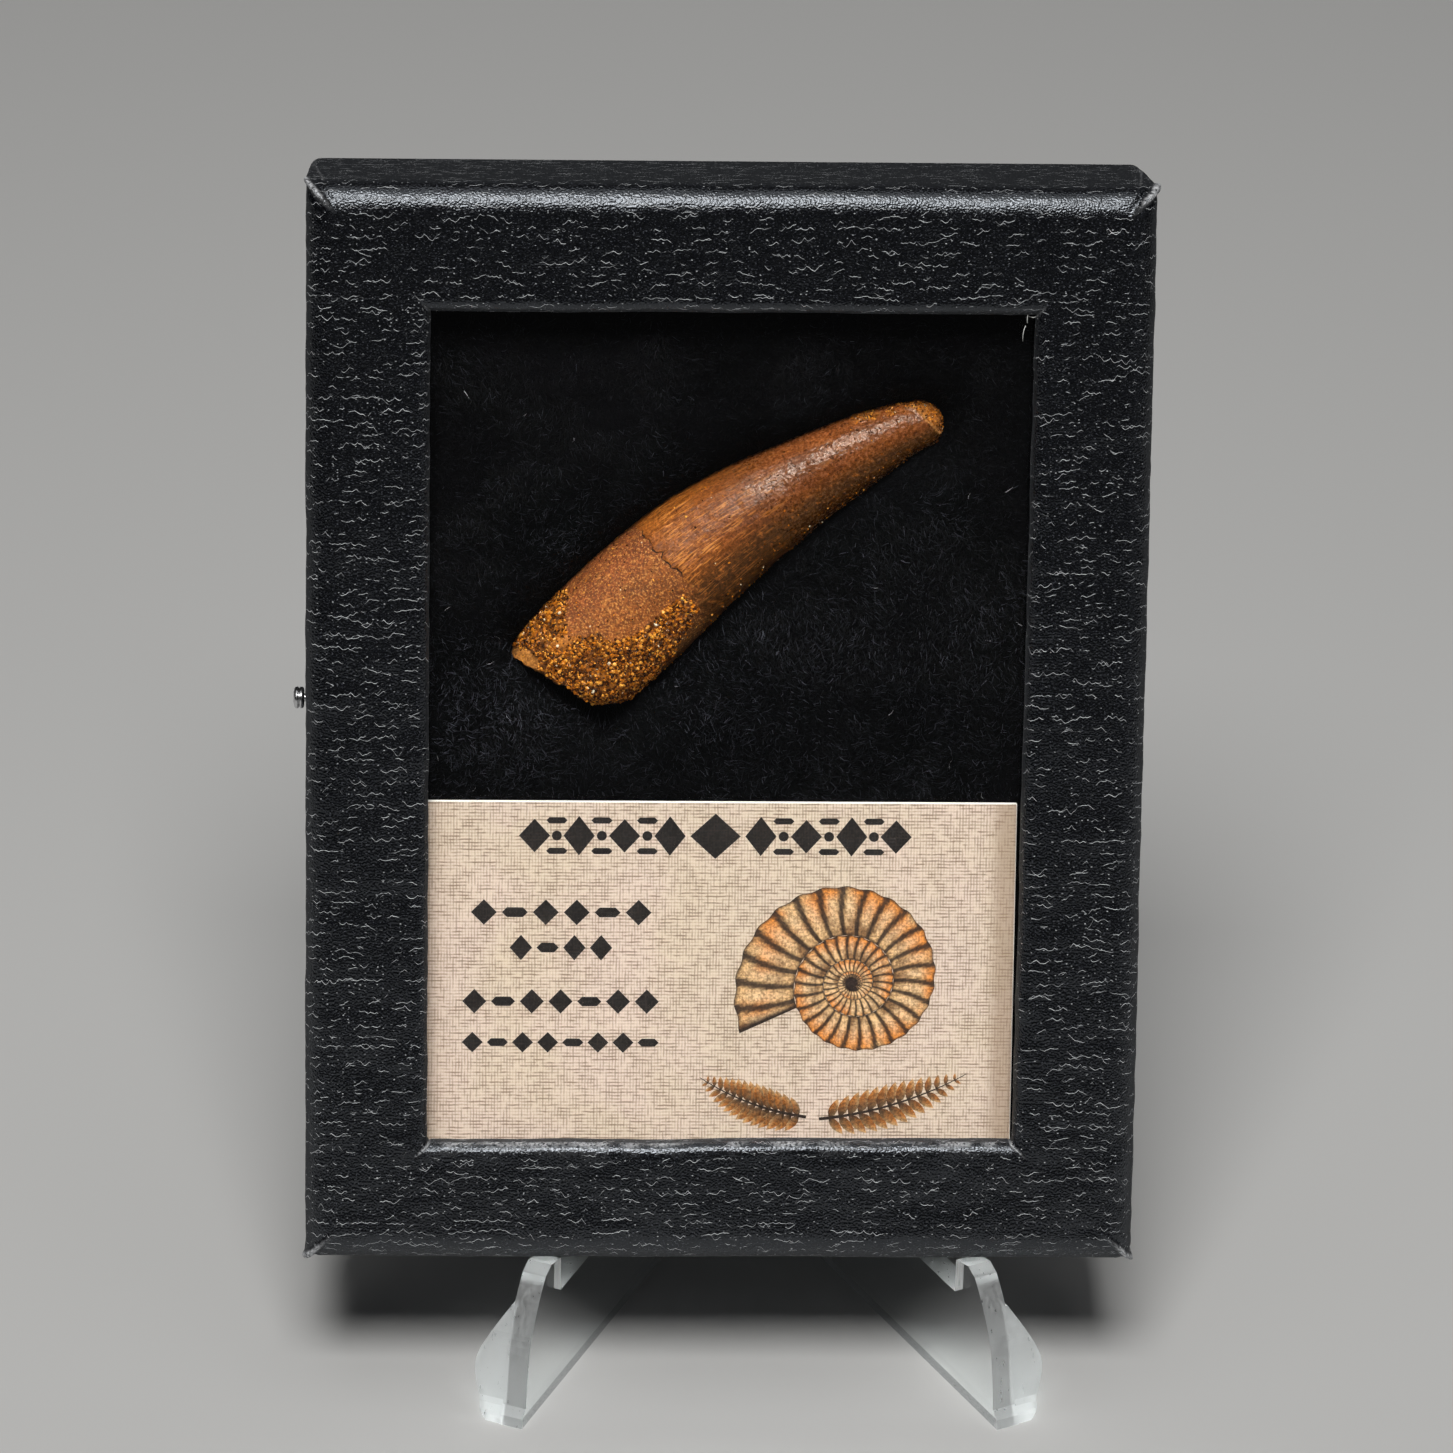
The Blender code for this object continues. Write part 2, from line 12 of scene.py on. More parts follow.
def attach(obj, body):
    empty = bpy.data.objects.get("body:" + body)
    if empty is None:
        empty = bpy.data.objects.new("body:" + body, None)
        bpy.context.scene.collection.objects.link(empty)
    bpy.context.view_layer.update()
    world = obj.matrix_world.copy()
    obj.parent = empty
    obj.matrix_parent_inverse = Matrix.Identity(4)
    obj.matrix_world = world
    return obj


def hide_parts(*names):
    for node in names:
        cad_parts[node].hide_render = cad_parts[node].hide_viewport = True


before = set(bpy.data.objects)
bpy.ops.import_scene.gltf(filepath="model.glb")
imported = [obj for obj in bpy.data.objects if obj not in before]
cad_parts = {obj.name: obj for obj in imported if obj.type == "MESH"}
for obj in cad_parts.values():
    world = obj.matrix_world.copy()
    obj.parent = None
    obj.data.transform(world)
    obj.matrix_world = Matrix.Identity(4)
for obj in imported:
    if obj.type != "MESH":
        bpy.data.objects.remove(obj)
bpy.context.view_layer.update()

MM = 0.001

# The case's own frame, as in the CAD source: x across, y up its face, z out of its front
CASE_LEAN = radians(15)
CASE_PLACE = Vector((0.7, -11.855, 68.236))
CASE = Matrix.Translation(CASE_PLACE * MM) @ Matrix.Rotation(radians(90) - CASE_LEAN, 4, "X")
TO_METRES = Matrix.Scale(MM, 4)

# Sizes below are in millimetres, in the case's frame
HALF_WIDTH = 0.5 * 82.55
HALF_HEIGHT = 0.5 * 107.95
CASE_DEPTH = 19.05
GAP = 0.3
LID_FRONT = 2.0
LID_WALL = 1.5
LID_BACK = 18.25
LID_EDGE_RADIUS = 2.3
LID_EDGE_BREADTH = 2.9
LID_BACK_CORNER = 1.2
LID_FRONT_CORNER = 0.3
LID_CROWDING = 0.82
# Points along each level side, each upright side and each corner of the lid's rings
LID_COUNTS = (190, 236, 6)
HALF_WINDOW_WIDTH = 0.5 * 58.65
HALF_WINDOW_HEIGHT = 0.5 * 83.56
WINDOW_X, WINDOW_Y = 0.12, -0.37
WINDOW_SILL = 0.3
WINDOW_EDGE_RADIUS = 1.2
GLASS_BACK = 4.1
TRAY_WALL = 1.6
PAD_FRONT = 5.2
PAD_ROLL = 2.5
PAD_POINTS = (188, 250)
# The card's left, right, bottom and top
CARD_SIDES = (-29.35, 29.05, -46.5, -7.85)
PAD_FLAT_TOP = CARD_SIDES[3] + 1.0
PAD_FLAT_HALF_WIDTH = 30.5
CARD_FRONT = 4.4
CARD_THICKNESS = 0.5
CARD_BEVEL = 0.08
PIN_HEIGHT = 1.3
PIN_DEPTH = 9.6

# Along the tooth's middle: x, y and half width
TOOTH_STATIONS = (
    (-16.1, 2.9, 6.15),
    (-13.1, 6.4, 6.3),
    (-9.75, 9.65, 6.5),
    (-6.45, 12.85, 6.4),
    (-3.05, 15.9, 6.05),
    (0.5, 18.65, 5.6),
    (4.3, 21.25, 5.0),
    (8.55, 23.85, 4.3),
    (12.95, 26.35, 3.55),
    (16.9, 28.3, 2.8),
    (18.9, 29.0, 2.4),
)
TOOTH_AXIS_DEPTH = 10.4
TOOTH_FLATNESS = 0.82


# Helpers: numbers
def smooth(value):
    t = np.clip(value, 0.0, 1.0)
    return t * t * (3 - 2 * t)


def bell(value, width):
    return np.exp(-((value / width) ** 2))


def lerp(a, b, share):
    """Colours between two others, by a share for each point."""
    return a + (np.asarray(b) - a) * share[..., None]


def spline(a, b, c, d, t):
    """A smooth curve from b to c that also heeds the points beside them."""
    return 0.5 * (
        2 * b + (c - a) * t + (2 * a - 5 * b + 4 * c - d) * t**2 + (3 * b - a - 3 * c + d) * t**3
    )


def lattice(ix, iy, iz, seed):
    n = ix * 374761393 + iy * 668265263 + iz * 1440662683 + seed * 362437
    n = (n ^ (n >> 13)) * 1274126177
    n = n & 0x7FFFFFFF
    n = n ^ (n >> 15)
    return (n & 0xFFFF) / 65535.0


def grain(points, size, seed=0):
    """Smooth random values from -1 to 1 over space, with lumps of a given size."""
    p = points / np.asarray(size, float)
    base = np.floor(p).astype(np.int64)
    f = p - base
    f = f * f * (3 - 2 * f)
    total = 0.0
    for dx in (0, 1):
        wx = f[..., 0] if dx else 1 - f[..., 0]
        for dy in (0, 1):
            wy = f[..., 1] if dy else 1 - f[..., 1]
            for dz in (0, 1):
                wz = f[..., 2] if dz else 1 - f[..., 2]
                corner = lattice(base[..., 0] + dx, base[..., 1] + dy, base[..., 2] + dz, seed)
                total = total + wx * wy * wz * corner
    return 2 * total - 1


def flat_place(x, y):
    return np.stack([x, y, np.zeros_like(x)], axis=-1)


def layered(points, size, octaves, seed=0):
    total = 0.0
    for octave in range(octaves):
        finer = np.asarray(size, float) / 2**octave
        total = total + 0.5**octave * grain(points, finer, seed + 17 * octave)
    return total


# Helpers: meshes
def add_mesh(name, verts, faces, materials, slot, shade=True, fix_normals=True):
    """A piece from points in millimetres, put in the case's place and carried by the object."""
    mesh = bpy.data.meshes.new(name)
    listed = faces if isinstance(faces, list) else faces.tolist()
    mesh.from_pydata(np.asarray(verts, float).tolist(), [], listed)
    mesh.transform(CASE @ TO_METRES)
    if fix_normals:
        shape = bmesh.new()
        shape.from_mesh(mesh)
        bmesh.ops.recalc_face_normals(shape, faces=shape.faces)
        shape.to_mesh(mesh)
        shape.free()
    if shade:
        mesh.shade_smooth()
    piece = bpy.data.objects.new(name, mesh)
    for material in materials:
        mesh.materials.append(material)
    bpy.context.scene.collection.objects.link(piece)
    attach(piece, "root")
    return piece


def ring_faces(rings, count):
    """Quads between neighbouring rings of points."""
    i = np.arange(count)
    j = (i + 1) % count
    a = count * np.arange(rings - 1)[:, None]
    b = a + count
    return np.stack([a + i, a + j, b + j, b + i], axis=2).reshape(-1, 4)


def closed_rings(rings):
    """Points and faces of a solid from its rings, with a flat face at each end."""
    count = len(rings[0])
    faces = ring_faces(len(rings), count).tolist()
    for first in (0, (len(rings) - 1) * count):
        faces.append(list(range(first, first + count)))
    return np.concatenate(rings), faces


def fill_layer(layer, key, values):
    layer.data.foreach_set(key, np.asarray(values, np.float32).ravel())


def colour_points(piece, name, values):
    layer = piece.data.color_attributes.new(name, "FLOAT_COLOR", "POINT")
    fill_layer(layer, "color", np.column_stack([values, np.ones(len(values))]))


def place_points(piece, name, values):
    fill_layer(piece.data.attributes.new(name, "FLOAT_VECTOR", "POINT"), "vector", values)


def weigh_points(piece, name, values):
    fill_layer(piece.data.attributes.new(name, "FLOAT", "POINT"), "value", values)


# Helpers: materials
class Look:
    """A Principled material and short ways to add nodes to it."""

    def __init__(self, name, **sockets):
        self.material = bpy.data.materials.new(name)
        self.material.use_nodes = True
        self.tree = self.material.node_tree
        self.shader = self.tree.nodes["Principled BSDF"]
        self.set(self.shader, sockets)
        self.place = None

    def set(self, item, sockets):
        for key, value in sockets.items():
            socket = item.inputs[key.replace("_", " ")] if isinstance(key, str) else item.inputs[key]
            if isinstance(value, bpy.types.NodeSocket):
                self.tree.links.new(value, socket)
            elif isinstance(value, tuple) and len(value) == 3 and len(socket.default_value) == 4:
                socket.default_value = (*value, 1.0)
            else:
                socket.default_value = value

    def node(self, kind, sockets=None, **settings):
        item = self.tree.nodes.new("ShaderNode" + kind)
        for key, value in settings.items():
            setattr(item, key, value)
        self.set(item, sockets or {})
        return item

    def object_place(self):
        """Position in the object's frame, in millimetres."""
        if self.place is None:
            source = self.node("TexCoord").outputs["Object"]
            scaled = self.node("VectorMath", {0: source, "Scale": 1 / MM}, operation="SCALE")
            self.place = scaled.outputs["Vector"]
        return self.place

    def case_place(self):
        """Position in the case's frame, in millimetres."""
        moved = {0: self.object_place(), 1: tuple(CASE_PLACE)}
        lift = self.node("VectorMath", moved, operation="SUBTRACT").outputs[0]
        turned = {"Vector": lift, "Angle": CASE_LEAN - radians(90)}
        return self.node("VectorRotate", turned, rotation_type="X_AXIS").outputs[0]

    def attribute(self, name, output="Fac"):
        return self.node("Attribute", attribute_name=name).outputs[output]

    def tint(self):
        return self.node("VertexColor", layer_name="tint").outputs["Color"]

    def parts(self, vector):
        return self.node("SeparateXYZ", {0: vector}).outputs

    def vector(self, x, y, z=0.0):
        return self.node("CombineXYZ", {"X": x, "Y": y, "Z": z}).outputs[0]

    def stretch(self, vector, scale):
        return self.node("VectorMath", {0: vector, 1: scale}, operation="MULTIPLY").outputs[0]

    def noise(self, vector, size, detail=2.0, roughness=0.5, **settings):
        sockets = {"Vector": vector, "Scale": 1.0 / size, "Detail": detail, "Roughness": roughness}
        return self.node("TexNoise", sockets, **settings).outputs["Fac"]

    def long_noise(self, vector, sizes, detail, roughness):
        """Noise whose lumps have their own size along each axis."""
        return self.noise(self.stretch(vector, tuple(1 / s for s in sizes)), 1.0, detail, roughness)

    def math(self, operation, a, b=0.0, c=0.0, clamp=False):
        item = self.node("Math", {0: a, 1: b, 2: c}, operation=operation, use_clamp=clamp)
        return item.outputs[0]

    def times(self, a, b):
        return self.math("MULTIPLY", a, b)

    def minus(self, a, b):
        return self.math("SUBTRACT", a, b)

    def most(self, a, b):
        return self.math("MAXIMUM", a, b)

    def remap(self, value, low, high, to_low=0.0, to_high=1.0, kind="SMOOTHSTEP"):
        sockets = {"Value": value, "From Min": low, "From Max": high, "To Min": to_low, "To Max": to_high}
        return self.node("MapRange", sockets, interpolation_type=kind).outputs[0]

    def mix(self, share, a, b, blend="MIX"):
        return self.node("Mix", {0: share, 6: a, 7: b}, data_type="RGBA", blend_type=blend).outputs[2]

    def bump(self, height, distance, strength=1.0, below=None):
        """Relief with a depth in millimetres, on top of another relief where one is given."""
        sockets = {"Height": height, "Distance": distance * MM, "Strength": strength}
        if below is not None:
            sockets["Normal"] = below
        return self.node("Bump", sockets).outputs[0]

    def finish(self, **sockets):
        self.set(self.shader, sockets)
        return self.material


# How far from its middle a crease starts to fade, and where it ends
CREASE_EDGES = (0.012, 0.034)


def creases(look, place, offset, spacing, sway, mask_low, mask_high):
    """One thin crease wanders inside each level band of the paper, and comes and goes along it."""
    moved = look.node("VectorMath", {0: place, 1: offset}, operation="ADD").outputs[0]
    lean = look.minus(look.noise(moved, 8.0, 1.0), 0.5)
    across, up, _ = look.parts(moved)
    level = look.times(look.math("MULTIPLY_ADD", lean, sway, up), 1.0 / spacing)
    band = look.math("FLOOR", level)

    def along(rate, detail=0.0, band_step=7.31):
        """Noise along the crease, between -0.5 and 0.5 and new for each band."""
        vector = look.vector(look.times(across, rate), look.times(band, band_step))
        return look.minus(look.noise(vector, 1.0, detail, noise_dimensions="2D"), 0.5)

    wave = look.times(along(0.35), 0.50)
    wave = look.math("MULTIPLY_ADD", look.math("ABSOLUTE", along(0.95)), -0.95, wave)
    wave = look.math("MULTIPLY_ADD", along(2.1, 1.0), 0.21, wave)
    inside = look.minus(look.math("FRACT", level), 0.5)
    gap = look.times(look.math("ABSOLUTE", look.minus(inside, wave)), spacing)
    line = look.remap(gap, *CREASE_EDGES, 1.0, 0.0)
    return look.times(line, look.remap(along(0.50, 3.0, 3.77), mask_low, mask_high))


def crease_net(look, place):
    """Two sets of creases with raised dots between them, unevenly strong over the paper."""
    long_lines = creases(look, place, (0.0, 0.0, 0.0), 1.12, 1.9, 0.020, 0.10)
    other_lines = creases(look, place, (37.0, 11.3, 0.0), 1.45, 2.9, 0.045, 0.12)
    wide = look.stretch(place, (0.68, 1.12, 1.0))
    dots = look.node("TexVoronoi", {"Vector": wide, "Scale": 1 / 0.38, "Randomness": 1.0}).outputs
    chosen = look.node("SeparateColor", {0: dots["Color"]}).outputs[0]
    dot = look.times(look.remap(dots["Distance"], 0.10, 0.20, 1.0, 0.0), look.remap(chosen, 0.50, 0.95))
    net = look.most(long_lines, look.times(other_lines, 0.8))
    net = look.most(net, look.times(dot, 0.60))
    return look.times(net, look.remap(look.noise(place, 0.7, 2.0), 0.3, 0.62, 0.40, 1.0))


def leatherette(name, unrolled=True, crease_highlight=1.0):
    """Dark embossed paper: short wavy creases that run across it, over a fine mottled ground."""
    look = Look(name, Specular_IOR_Level=0.80, Specular_Tint=(0.86, 0.92, 1.0))
    if unrolled:
        place = look.attribute("paper", "Vector")
    else:
        across, up, out = look.parts(look.case_place())
        place = look.vector(across, look.math("ADD", up, out))
    net = crease_net(look, place)
    pebble = look.noise(place, 0.26, 2.0, 0.6)
    upright = look.long_noise(place, (0.16, 0.7, 0.16), 2.0, 0.6)
    ground = look.bump(look.noise(place, 0.22, 0.0), 0.05)
    ground = look.bump(upright, 0.02, 1.0, ground)
    raised = look.bump(net, 0.05, 0.8, ground)
    mottle = look.times(look.math("ADD", pebble, upright), 0.5)
    tone = look.mix(look.remap(mottle, 0.44, 0.62), (0.0002, 0.0002, 0.0005), (0.0036, 0.0039, 0.0060))
    # painted glints: pale specks on the ground, where its grain would catch the light
    painted_glints = look.remap(look.noise(look.stretch(place, (0.8, 1.15, 1.0)), 0.19, 1.0), 0.60, 0.72)
    painted_glints = look.times(painted_glints, look.remap(upright, 0.35, 0.60, 0.35, 1.0))
    tone = look.mix(painted_glints, tone, (0.074, 0.079, 0.093))
    # painted highlight: the creases and dots are painted near white, where their edges would catch the light
    tone = look.mix(look.times(net, crease_highlight), tone, (0.94, 0.97, 1.0))
    if unrolled:
        # paler paper where it is worn at the ears and window corners, partly painted highlight, and a painted
        # highlight along the window's bottom edge
        wear_and_highlight_patches = look.remap(look.noise(place, 0.35, 3.0, 0.6), 0.35, 0.6)
        tone = look.mix(look.times(look.attribute("wear_and_highlight"), wear_and_highlight_patches), tone, (0.62, 0.63, 0.65))
    # the paper is shinier where it is seen head on, so that its far sides stay dark
    gloss = look.remap(mottle, 0.35, 0.65, 0.275, 0.21, "LINEAR")
    edge_on = look.node("LayerWeight", {"Blend": 0.5, "Normal": ground}).outputs["Facing"]
    gloss = look.math("ADD", gloss, look.remap(edge_on, 0.28, 0.60, 0.0, 0.45))
    return look.finish(Base_Color=tone, Roughness=gloss, Normal=raised)


def plush_material():
    look = Look("plush", Roughness=0.95, Specular_IOR_Level=0.05)
    fleck = look.noise(look.case_place(), 0.35, 3.0, 0.7)
    tone = look.mix(look.remap(fleck, 0.35, 0.75), (0.0004, 0.0004, 0.0006), (0.0020, 0.0022, 0.0028))
    return look.finish(Base_Color=tone, Normal=look.bump(fleck, 0.3, 0.8))


def fibre_material():
    look = Look("plush_fibre", Roughness=0.7, Specular_IOR_Level=0.06)
    return look.finish(Base_Color=look.tint())


def linen_threads(look):
    """Two sets of thin thread lines, each thread with its own strength along its length."""
    place = look.case_place()
    x, y, _ = look.parts(place)
    wobble = look.minus(look.noise(place, 1.1, 2.0), 0.5)

    def threads(position, spacing, along, seed):
        level = look.math("MULTIPLY_ADD", wobble, 0.45, look.times(position, 1.0 / spacing))
        gap = look.math("PINGPONG", level, 0.5)
        band = look.math("FLOOR", look.math("ADD", level, 0.5))
        vector = look.vector(look.times(along, 0.62), look.times(band, 5.7), seed)
        strength = look.remap(look.noise(vector, 1.0, 3.0, 0.6), 0.38, 0.64, 0.18, 1.0)
        return look.times(look.remap(gap, 0.11, 0.36, 1.0, 0.0), strength)

    return x, threads(y, 0.335, x, 3.0), threads(x, 0.30, y, 9.0)


def card_material():
    """Pale card printed and pressed like linen."""
    look = Look("linen_card", Roughness=0.6, Specular_IOR_Level=0.3)
    x, level, upright = linen_threads(look)
    cloud = look.noise(look.case_place(), 10.0, 3.0)
    # painted shade: the card is darker towards its left and right edges, much more at the right
    left_shade = look.remap(x, -25.6, -29.2, 0.0, 0.20)
    right_shade = look.remap(x, 25.9, 27.8, 0.0, 0.60)
    thread = (0.200, 0.138, 0.092)
    tone = look.mix(look.remap(cloud, 0.34, 0.66), (0.662, 0.552, 0.428), (0.690, 0.562, 0.472))
    tone = look.mix(look.times(level, 0.84), tone, thread)
    tone = look.mix(look.times(upright, 0.60), tone, thread)
    tone = look.mix(look.math("ADD", left_shade, right_shade), tone, (0.28, 0.195, 0.13))
    return look.finish(Base_Color=tone, Normal=look.bump(look.most(level, upright), -0.03, 0.5))


def print_material():
    """Printing ink on the linen card, thinner in the thread lines."""
    look = Look("label_print", Roughness=0.5, Specular_IOR_Level=0.35)
    _, level, upright = linen_threads(look)
    threads = look.most(level, upright)
    fleck = look.remap(look.noise(look.case_place(), 0.25, 2.0, 0.6), 0.36, 0.62)
    tone = look.mix(look.times(threads, 0.30), look.tint(), (0.045, 0.028, 0.018))
    tone = look.mix(1.0, tone, look.mix(fleck, (0.58, 0.54, 0.50), (1.22, 1.22, 1.22)), "MULTIPLY")
    return look.finish(Base_Color=tone, Normal=look.bump(threads, -0.03, 0.5))


def plain(name, colour, roughness, size, depth):
    """A near-even surface with a faint tooth to it."""
    look = Look(name, Roughness=roughness)
    speck = look.noise(look.object_place(), size, 3.0, 0.6)
    light = tuple(min(1.0, c * 1.18) for c in colour)
    dark = tuple(c * 0.82 for c in colour)
    tone = look.mix(look.remap(speck, 0.3, 0.7), dark, light)
    return look.finish(Base_Color=tone, Normal=look.bump(speck, depth, 0.5))


def backing_material():
    """A plain dark sheet, with the low swells and faint scuffs of pasted paper."""
    look = Look("backing_paper", Specular_IOR_Level=0.35)
    place = look.case_place()
    fleck = look.long_noise(place, (0.8, 0.25, 1.0), 3.0, 0.65)
    scuff = look.long_noise(place, (9.0, 1.6, 1.0), 4.0, 0.7)
    tone = look.mix(look.remap(fleck, 0.35, 0.68), (0.012, 0.012, 0.014), (0.034, 0.034, 0.037))
    tone = look.mix(look.remap(scuff, 0.56, 0.74, 0.0, 0.5), tone, (0.080, 0.079, 0.078))
    swell = look.bump(look.noise(place, 7.0, 1.0), 0.35, 0.8)
    gloss = look.remap(fleck, 0.3, 0.7, 0.72, 0.52, "LINEAR")
    return look.finish(Base_Color=tone, Roughness=gloss, Normal=look.bump(fleck, 0.04, 1.0, swell))


def clear_material(name, ior, roughness, tint=(1.0, 1.0, 1.0)):
    """Clear glass or plastic that lets the lamps' light through to what is behind it."""
    look = Look(name, Roughness=roughness, IOR=ior, Transmission_Weight=1.0, Base_Color=tint)
    shadow = look.node("LightPath").outputs["Is Shadow Ray"]
    through = look.node("BsdfTransparent", {"Color": tint}).outputs[0]
    both = look.node("MixShader", {0: shadow, 1: look.shader.outputs[0], 2: through})
    look.set(look.tree.nodes["Material Output"], {"Surface": both.outputs[0]})
    return look


def cut_edge_material():
    """The plates' sawn and frosted edges."""
    look = clear_material("cut_edge", 1.49, 0.34, (0.90, 0.925, 0.93))
    saw = look.long_noise(look.object_place(), (0.4, 0.4, 2.5), 3.0, 0.6)
    return look.finish(
        Roughness=look.remap(saw, 0.3, 0.7, 0.26, 0.46, "LINEAR"),
        Transmission_Weight=look.remap(saw, 0.3, 0.75, 0.86, 0.66, "LINEAR"),
    )


def tooth_material():
    look = Look("fossil_tooth", Specular_IOR_Level=0.28, Specular_Tint=(1.0, 0.92, 0.82))
    neck, ribbed = look.attribute("neck"), look.attribute("ribbed")
    run = look.attribute("run", "Vector")
    place = look.object_place()
    coarse = look.noise(place, 0.34, 3.0, 0.7)
    speck = look.noise(place, 0.20, 2.0, 0.6)
    # mottling everywhere
    mottle = look.mix(look.remap(coarse, 0.38, 0.64), (0.66, 0.60, 0.50), (1.28, 1.26, 1.22))
    grit = look.mix(look.remap(speck, 0.40, 0.62), (0.80, 0.76, 0.68), (1.20, 1.21, 1.20))
    tone = look.mix(1.0, look.mix(1.0, look.tint(), mottle, "MULTIPLY"), grit, "MULTIPLY")
    # fine bright and dark lines that run up the enamel
    streak = look.long_noise(run, (0.13, 0.13, 1.3), 2.0, 0.6)
    hair = look.long_noise(run, (0.22, 0.22, 3.6), 3.0, 0.65)
    lines = look.math("ADD", look.times(streak, 0.6), look.times(hair, 0.4))
    gold = look.times(look.remap(lines, 0.53, 0.585), look.times(ribbed, 0.85))
    tone = look.mix(gold, tone, (0.50, 0.185, 0.030))
    dark = look.times(look.remap(lines, 0.47, 0.41), look.times(ribbed, 0.55))
    tone = look.mix(dark, tone, (0.050, 0.014, 0.004))
    pit = look.remap(look.noise(place, 0.42, 2.0, 0.6), 0.62, 0.70)
    pit = look.times(pit, look.attribute("pitted"))
    tone = look.mix(look.times(pit, 0.7), tone, (0.035, 0.010, 0.004))
    # sand grains and pores on the root
    rooted = look.times(neck, 0.60)
    tone = look.mix(look.times(look.remap(speck, 0.56, 0.66), rooted), tone, (0.58, 0.29, 0.080))
    tone = look.mix(look.times(look.remap(speck, 0.43, 0.34), rooted), tone, (0.105, 0.030, 0.010))
    # the crack, drawn where the mesh says that it is
    offset = look.minus(look.noise(place, 0.5, 2.0), 0.5)
    gap = look.math("ABSOLUTE", look.math("MULTIPLY_ADD", offset, 0.35, look.attribute("crack")))
    open_share = look.remap(look.noise(place, 0.8, 1.0), 0.38, 0.52, 0.2, 1.0)
    open_share = look.times(open_share, look.attribute("cracked"))
    crack = look.times(look.remap(gap, 0.035, 0.10, 1.0, 0.0), open_share)
    tone = look.mix(crack, tone, (0.012, 0.004, 0.002))
    bumps = look.bump(look.noise(place, 0.26, 0.5), 0.05)
    for height, depth, strength in (
        (look.times(speck, neck), 0.14, 0.6), (look.times(lines, ribbed), 0.10, 0.8),
        (pit, -0.10, 1.0), (crack, -0.20, 1.0),
    ):
        bumps = look.bump(height, depth, strength, bumps)
    uneven = look.remap(coarse, 0.35, 0.65, -0.10, 0.10, "LINEAR")
    gloss = look.math("ADD", look.attribute("dullness"), uneven, clamp=True)
    return look.finish(Base_Color=tone, Roughness=gloss, Normal=bumps)


def sand_material():
    look = Look("sand", Specular_IOR_Level=0.5, Roughness=0.24, Specular_Tint=(1.0, 0.84, 0.58))
    speck = look.noise(look.object_place(), 0.16, 2.0, 0.6)
    tone = look.mix(look.remap(speck, 0.40, 0.7, 0.0, 0.35), look.tint(), (0.10, 0.036, 0.006))
    return look.finish(Base_Color=tone, Normal=look.bump(speck, 0.03, 0.6))


def steel_material():
    look = Look("turned_steel", Metallic=1.0, Base_Color=(0.60, 0.60, 0.61))
    turned = look.long_noise(look.case_place(), (0.05, 1.5, 1.5), 2.0, 0.5)
    gloss = look.remap(turned, 0.3, 0.7, 0.16, 0.32, "LINEAR")
    return look.finish(Roughness=gloss, Normal=look.bump(turned, 0.01, 0.4))


# Lid
def rectangle_ring(left, right, bottom, top, corner, depth, counts, crowd=0.0):
    """Points round a rectangle with rounded corners, as many at every size, closer near the corners."""
    across, upward, round_corner = counts
    low_x, high_x, low_y, high_y = left + corner, right - corner, bottom + corner, top - corner
    spans = (
        ((right, low_y), (right, high_y), upward, (high_x, high_y)),
        ((high_x, top), (low_x, top), across, (low_x, high_y)),
        ((left, high_y), (left, low_y), upward, (low_x, low_y)),
        ((low_x, bottom), (high_x, bottom), across, (high_x, low_y)),
    )
    points = []
    for turn, (start, end, count, centre) in enumerate(spans):
        t = np.arange(count)[:, None] / count
        t = t - crowd * np.sin(2 * pi * t) / (2 * pi)
        points.append(start + np.subtract(end, start) * t)
        angle = 0.5 * pi * turn + 0.5 * pi * np.arange(round_corner) / round_corner
        points.append(centre + corner * np.stack([np.cos(angle), np.sin(angle)], axis=1))
    flat = np.concatenate(points)
    return np.column_stack([flat, np.full(len(flat), depth)])


def lid_profile():
    """Rings across the lid's skin: (kind, share of the face or inset or outset, depth, corner)."""
    steps = []
    for t in np.linspace(0, 1, 30):
        depth = -LID_BACK + (LID_BACK - LID_EDGE_RADIUS) * t
        steps.append(("outer", 0.0, depth, LID_BACK_CORNER * (1 - 0.75 * t)))
    for angle in np.linspace(0, 0.5 * pi, 14)[1:]:
        inset = LID_EDGE_BREADTH * (1 - cos(angle))
        steps.append(("outer", inset, -LID_EDGE_RADIUS * (1 - sin(angle)), LID_FRONT_CORNER))
    for t in np.linspace(0, 1, 20)[1:]:
        steps.append(("face", t, 0.0, LID_FRONT_CORNER))
    for angle in np.linspace(0, 0.5 * pi, 8)[1:]:
        outset = WINDOW_EDGE_RADIUS * (1 - sin(angle))
        steps.append(("window", outset, -WINDOW_EDGE_RADIUS * (1 - cos(angle)), LID_FRONT_CORNER))
    for depth in (0.5 * (WINDOW_EDGE_RADIUS + LID_FRONT), LID_FRONT):
        steps.append(("window", 0.0, -depth, LID_FRONT_CORNER))
    return steps


def moved_in(sides, amount):
    """Left, right, bottom and top sides, each moved towards the middle."""
    return [side + sign * amount for side, sign in zip(sides, (1, -1, 1, -1))]


def profile_ring(kind, amount, depth, corner):
    """One ring of the lid's skin, for a step of its profile."""
    outer = (-HALF_WIDTH, HALF_WIDTH, -HALF_HEIGHT, HALF_HEIGHT)
    if kind == "outer":
        sides = moved_in(outer, amount)
    else:
        window = (WINDOW_X - HALF_WINDOW_WIDTH, WINDOW_X + HALF_WINDOW_WIDTH,
                  WINDOW_Y - HALF_WINDOW_HEIGHT, WINDOW_Y + HALF_WINDOW_HEIGHT)
        sides = moved_in(window, -amount if kind == "window" else -WINDOW_EDGE_RADIUS)
        sides[2] += WINDOW_SILL
    if kind == "face":
        sides = [a + (b - a) * amount for a, b in zip(moved_in(outer, LID_EDGE_BREADTH), sides)]
    return rectangle_ring(*sides, corner, depth, LID_COUNTS, LID_CROWDING)


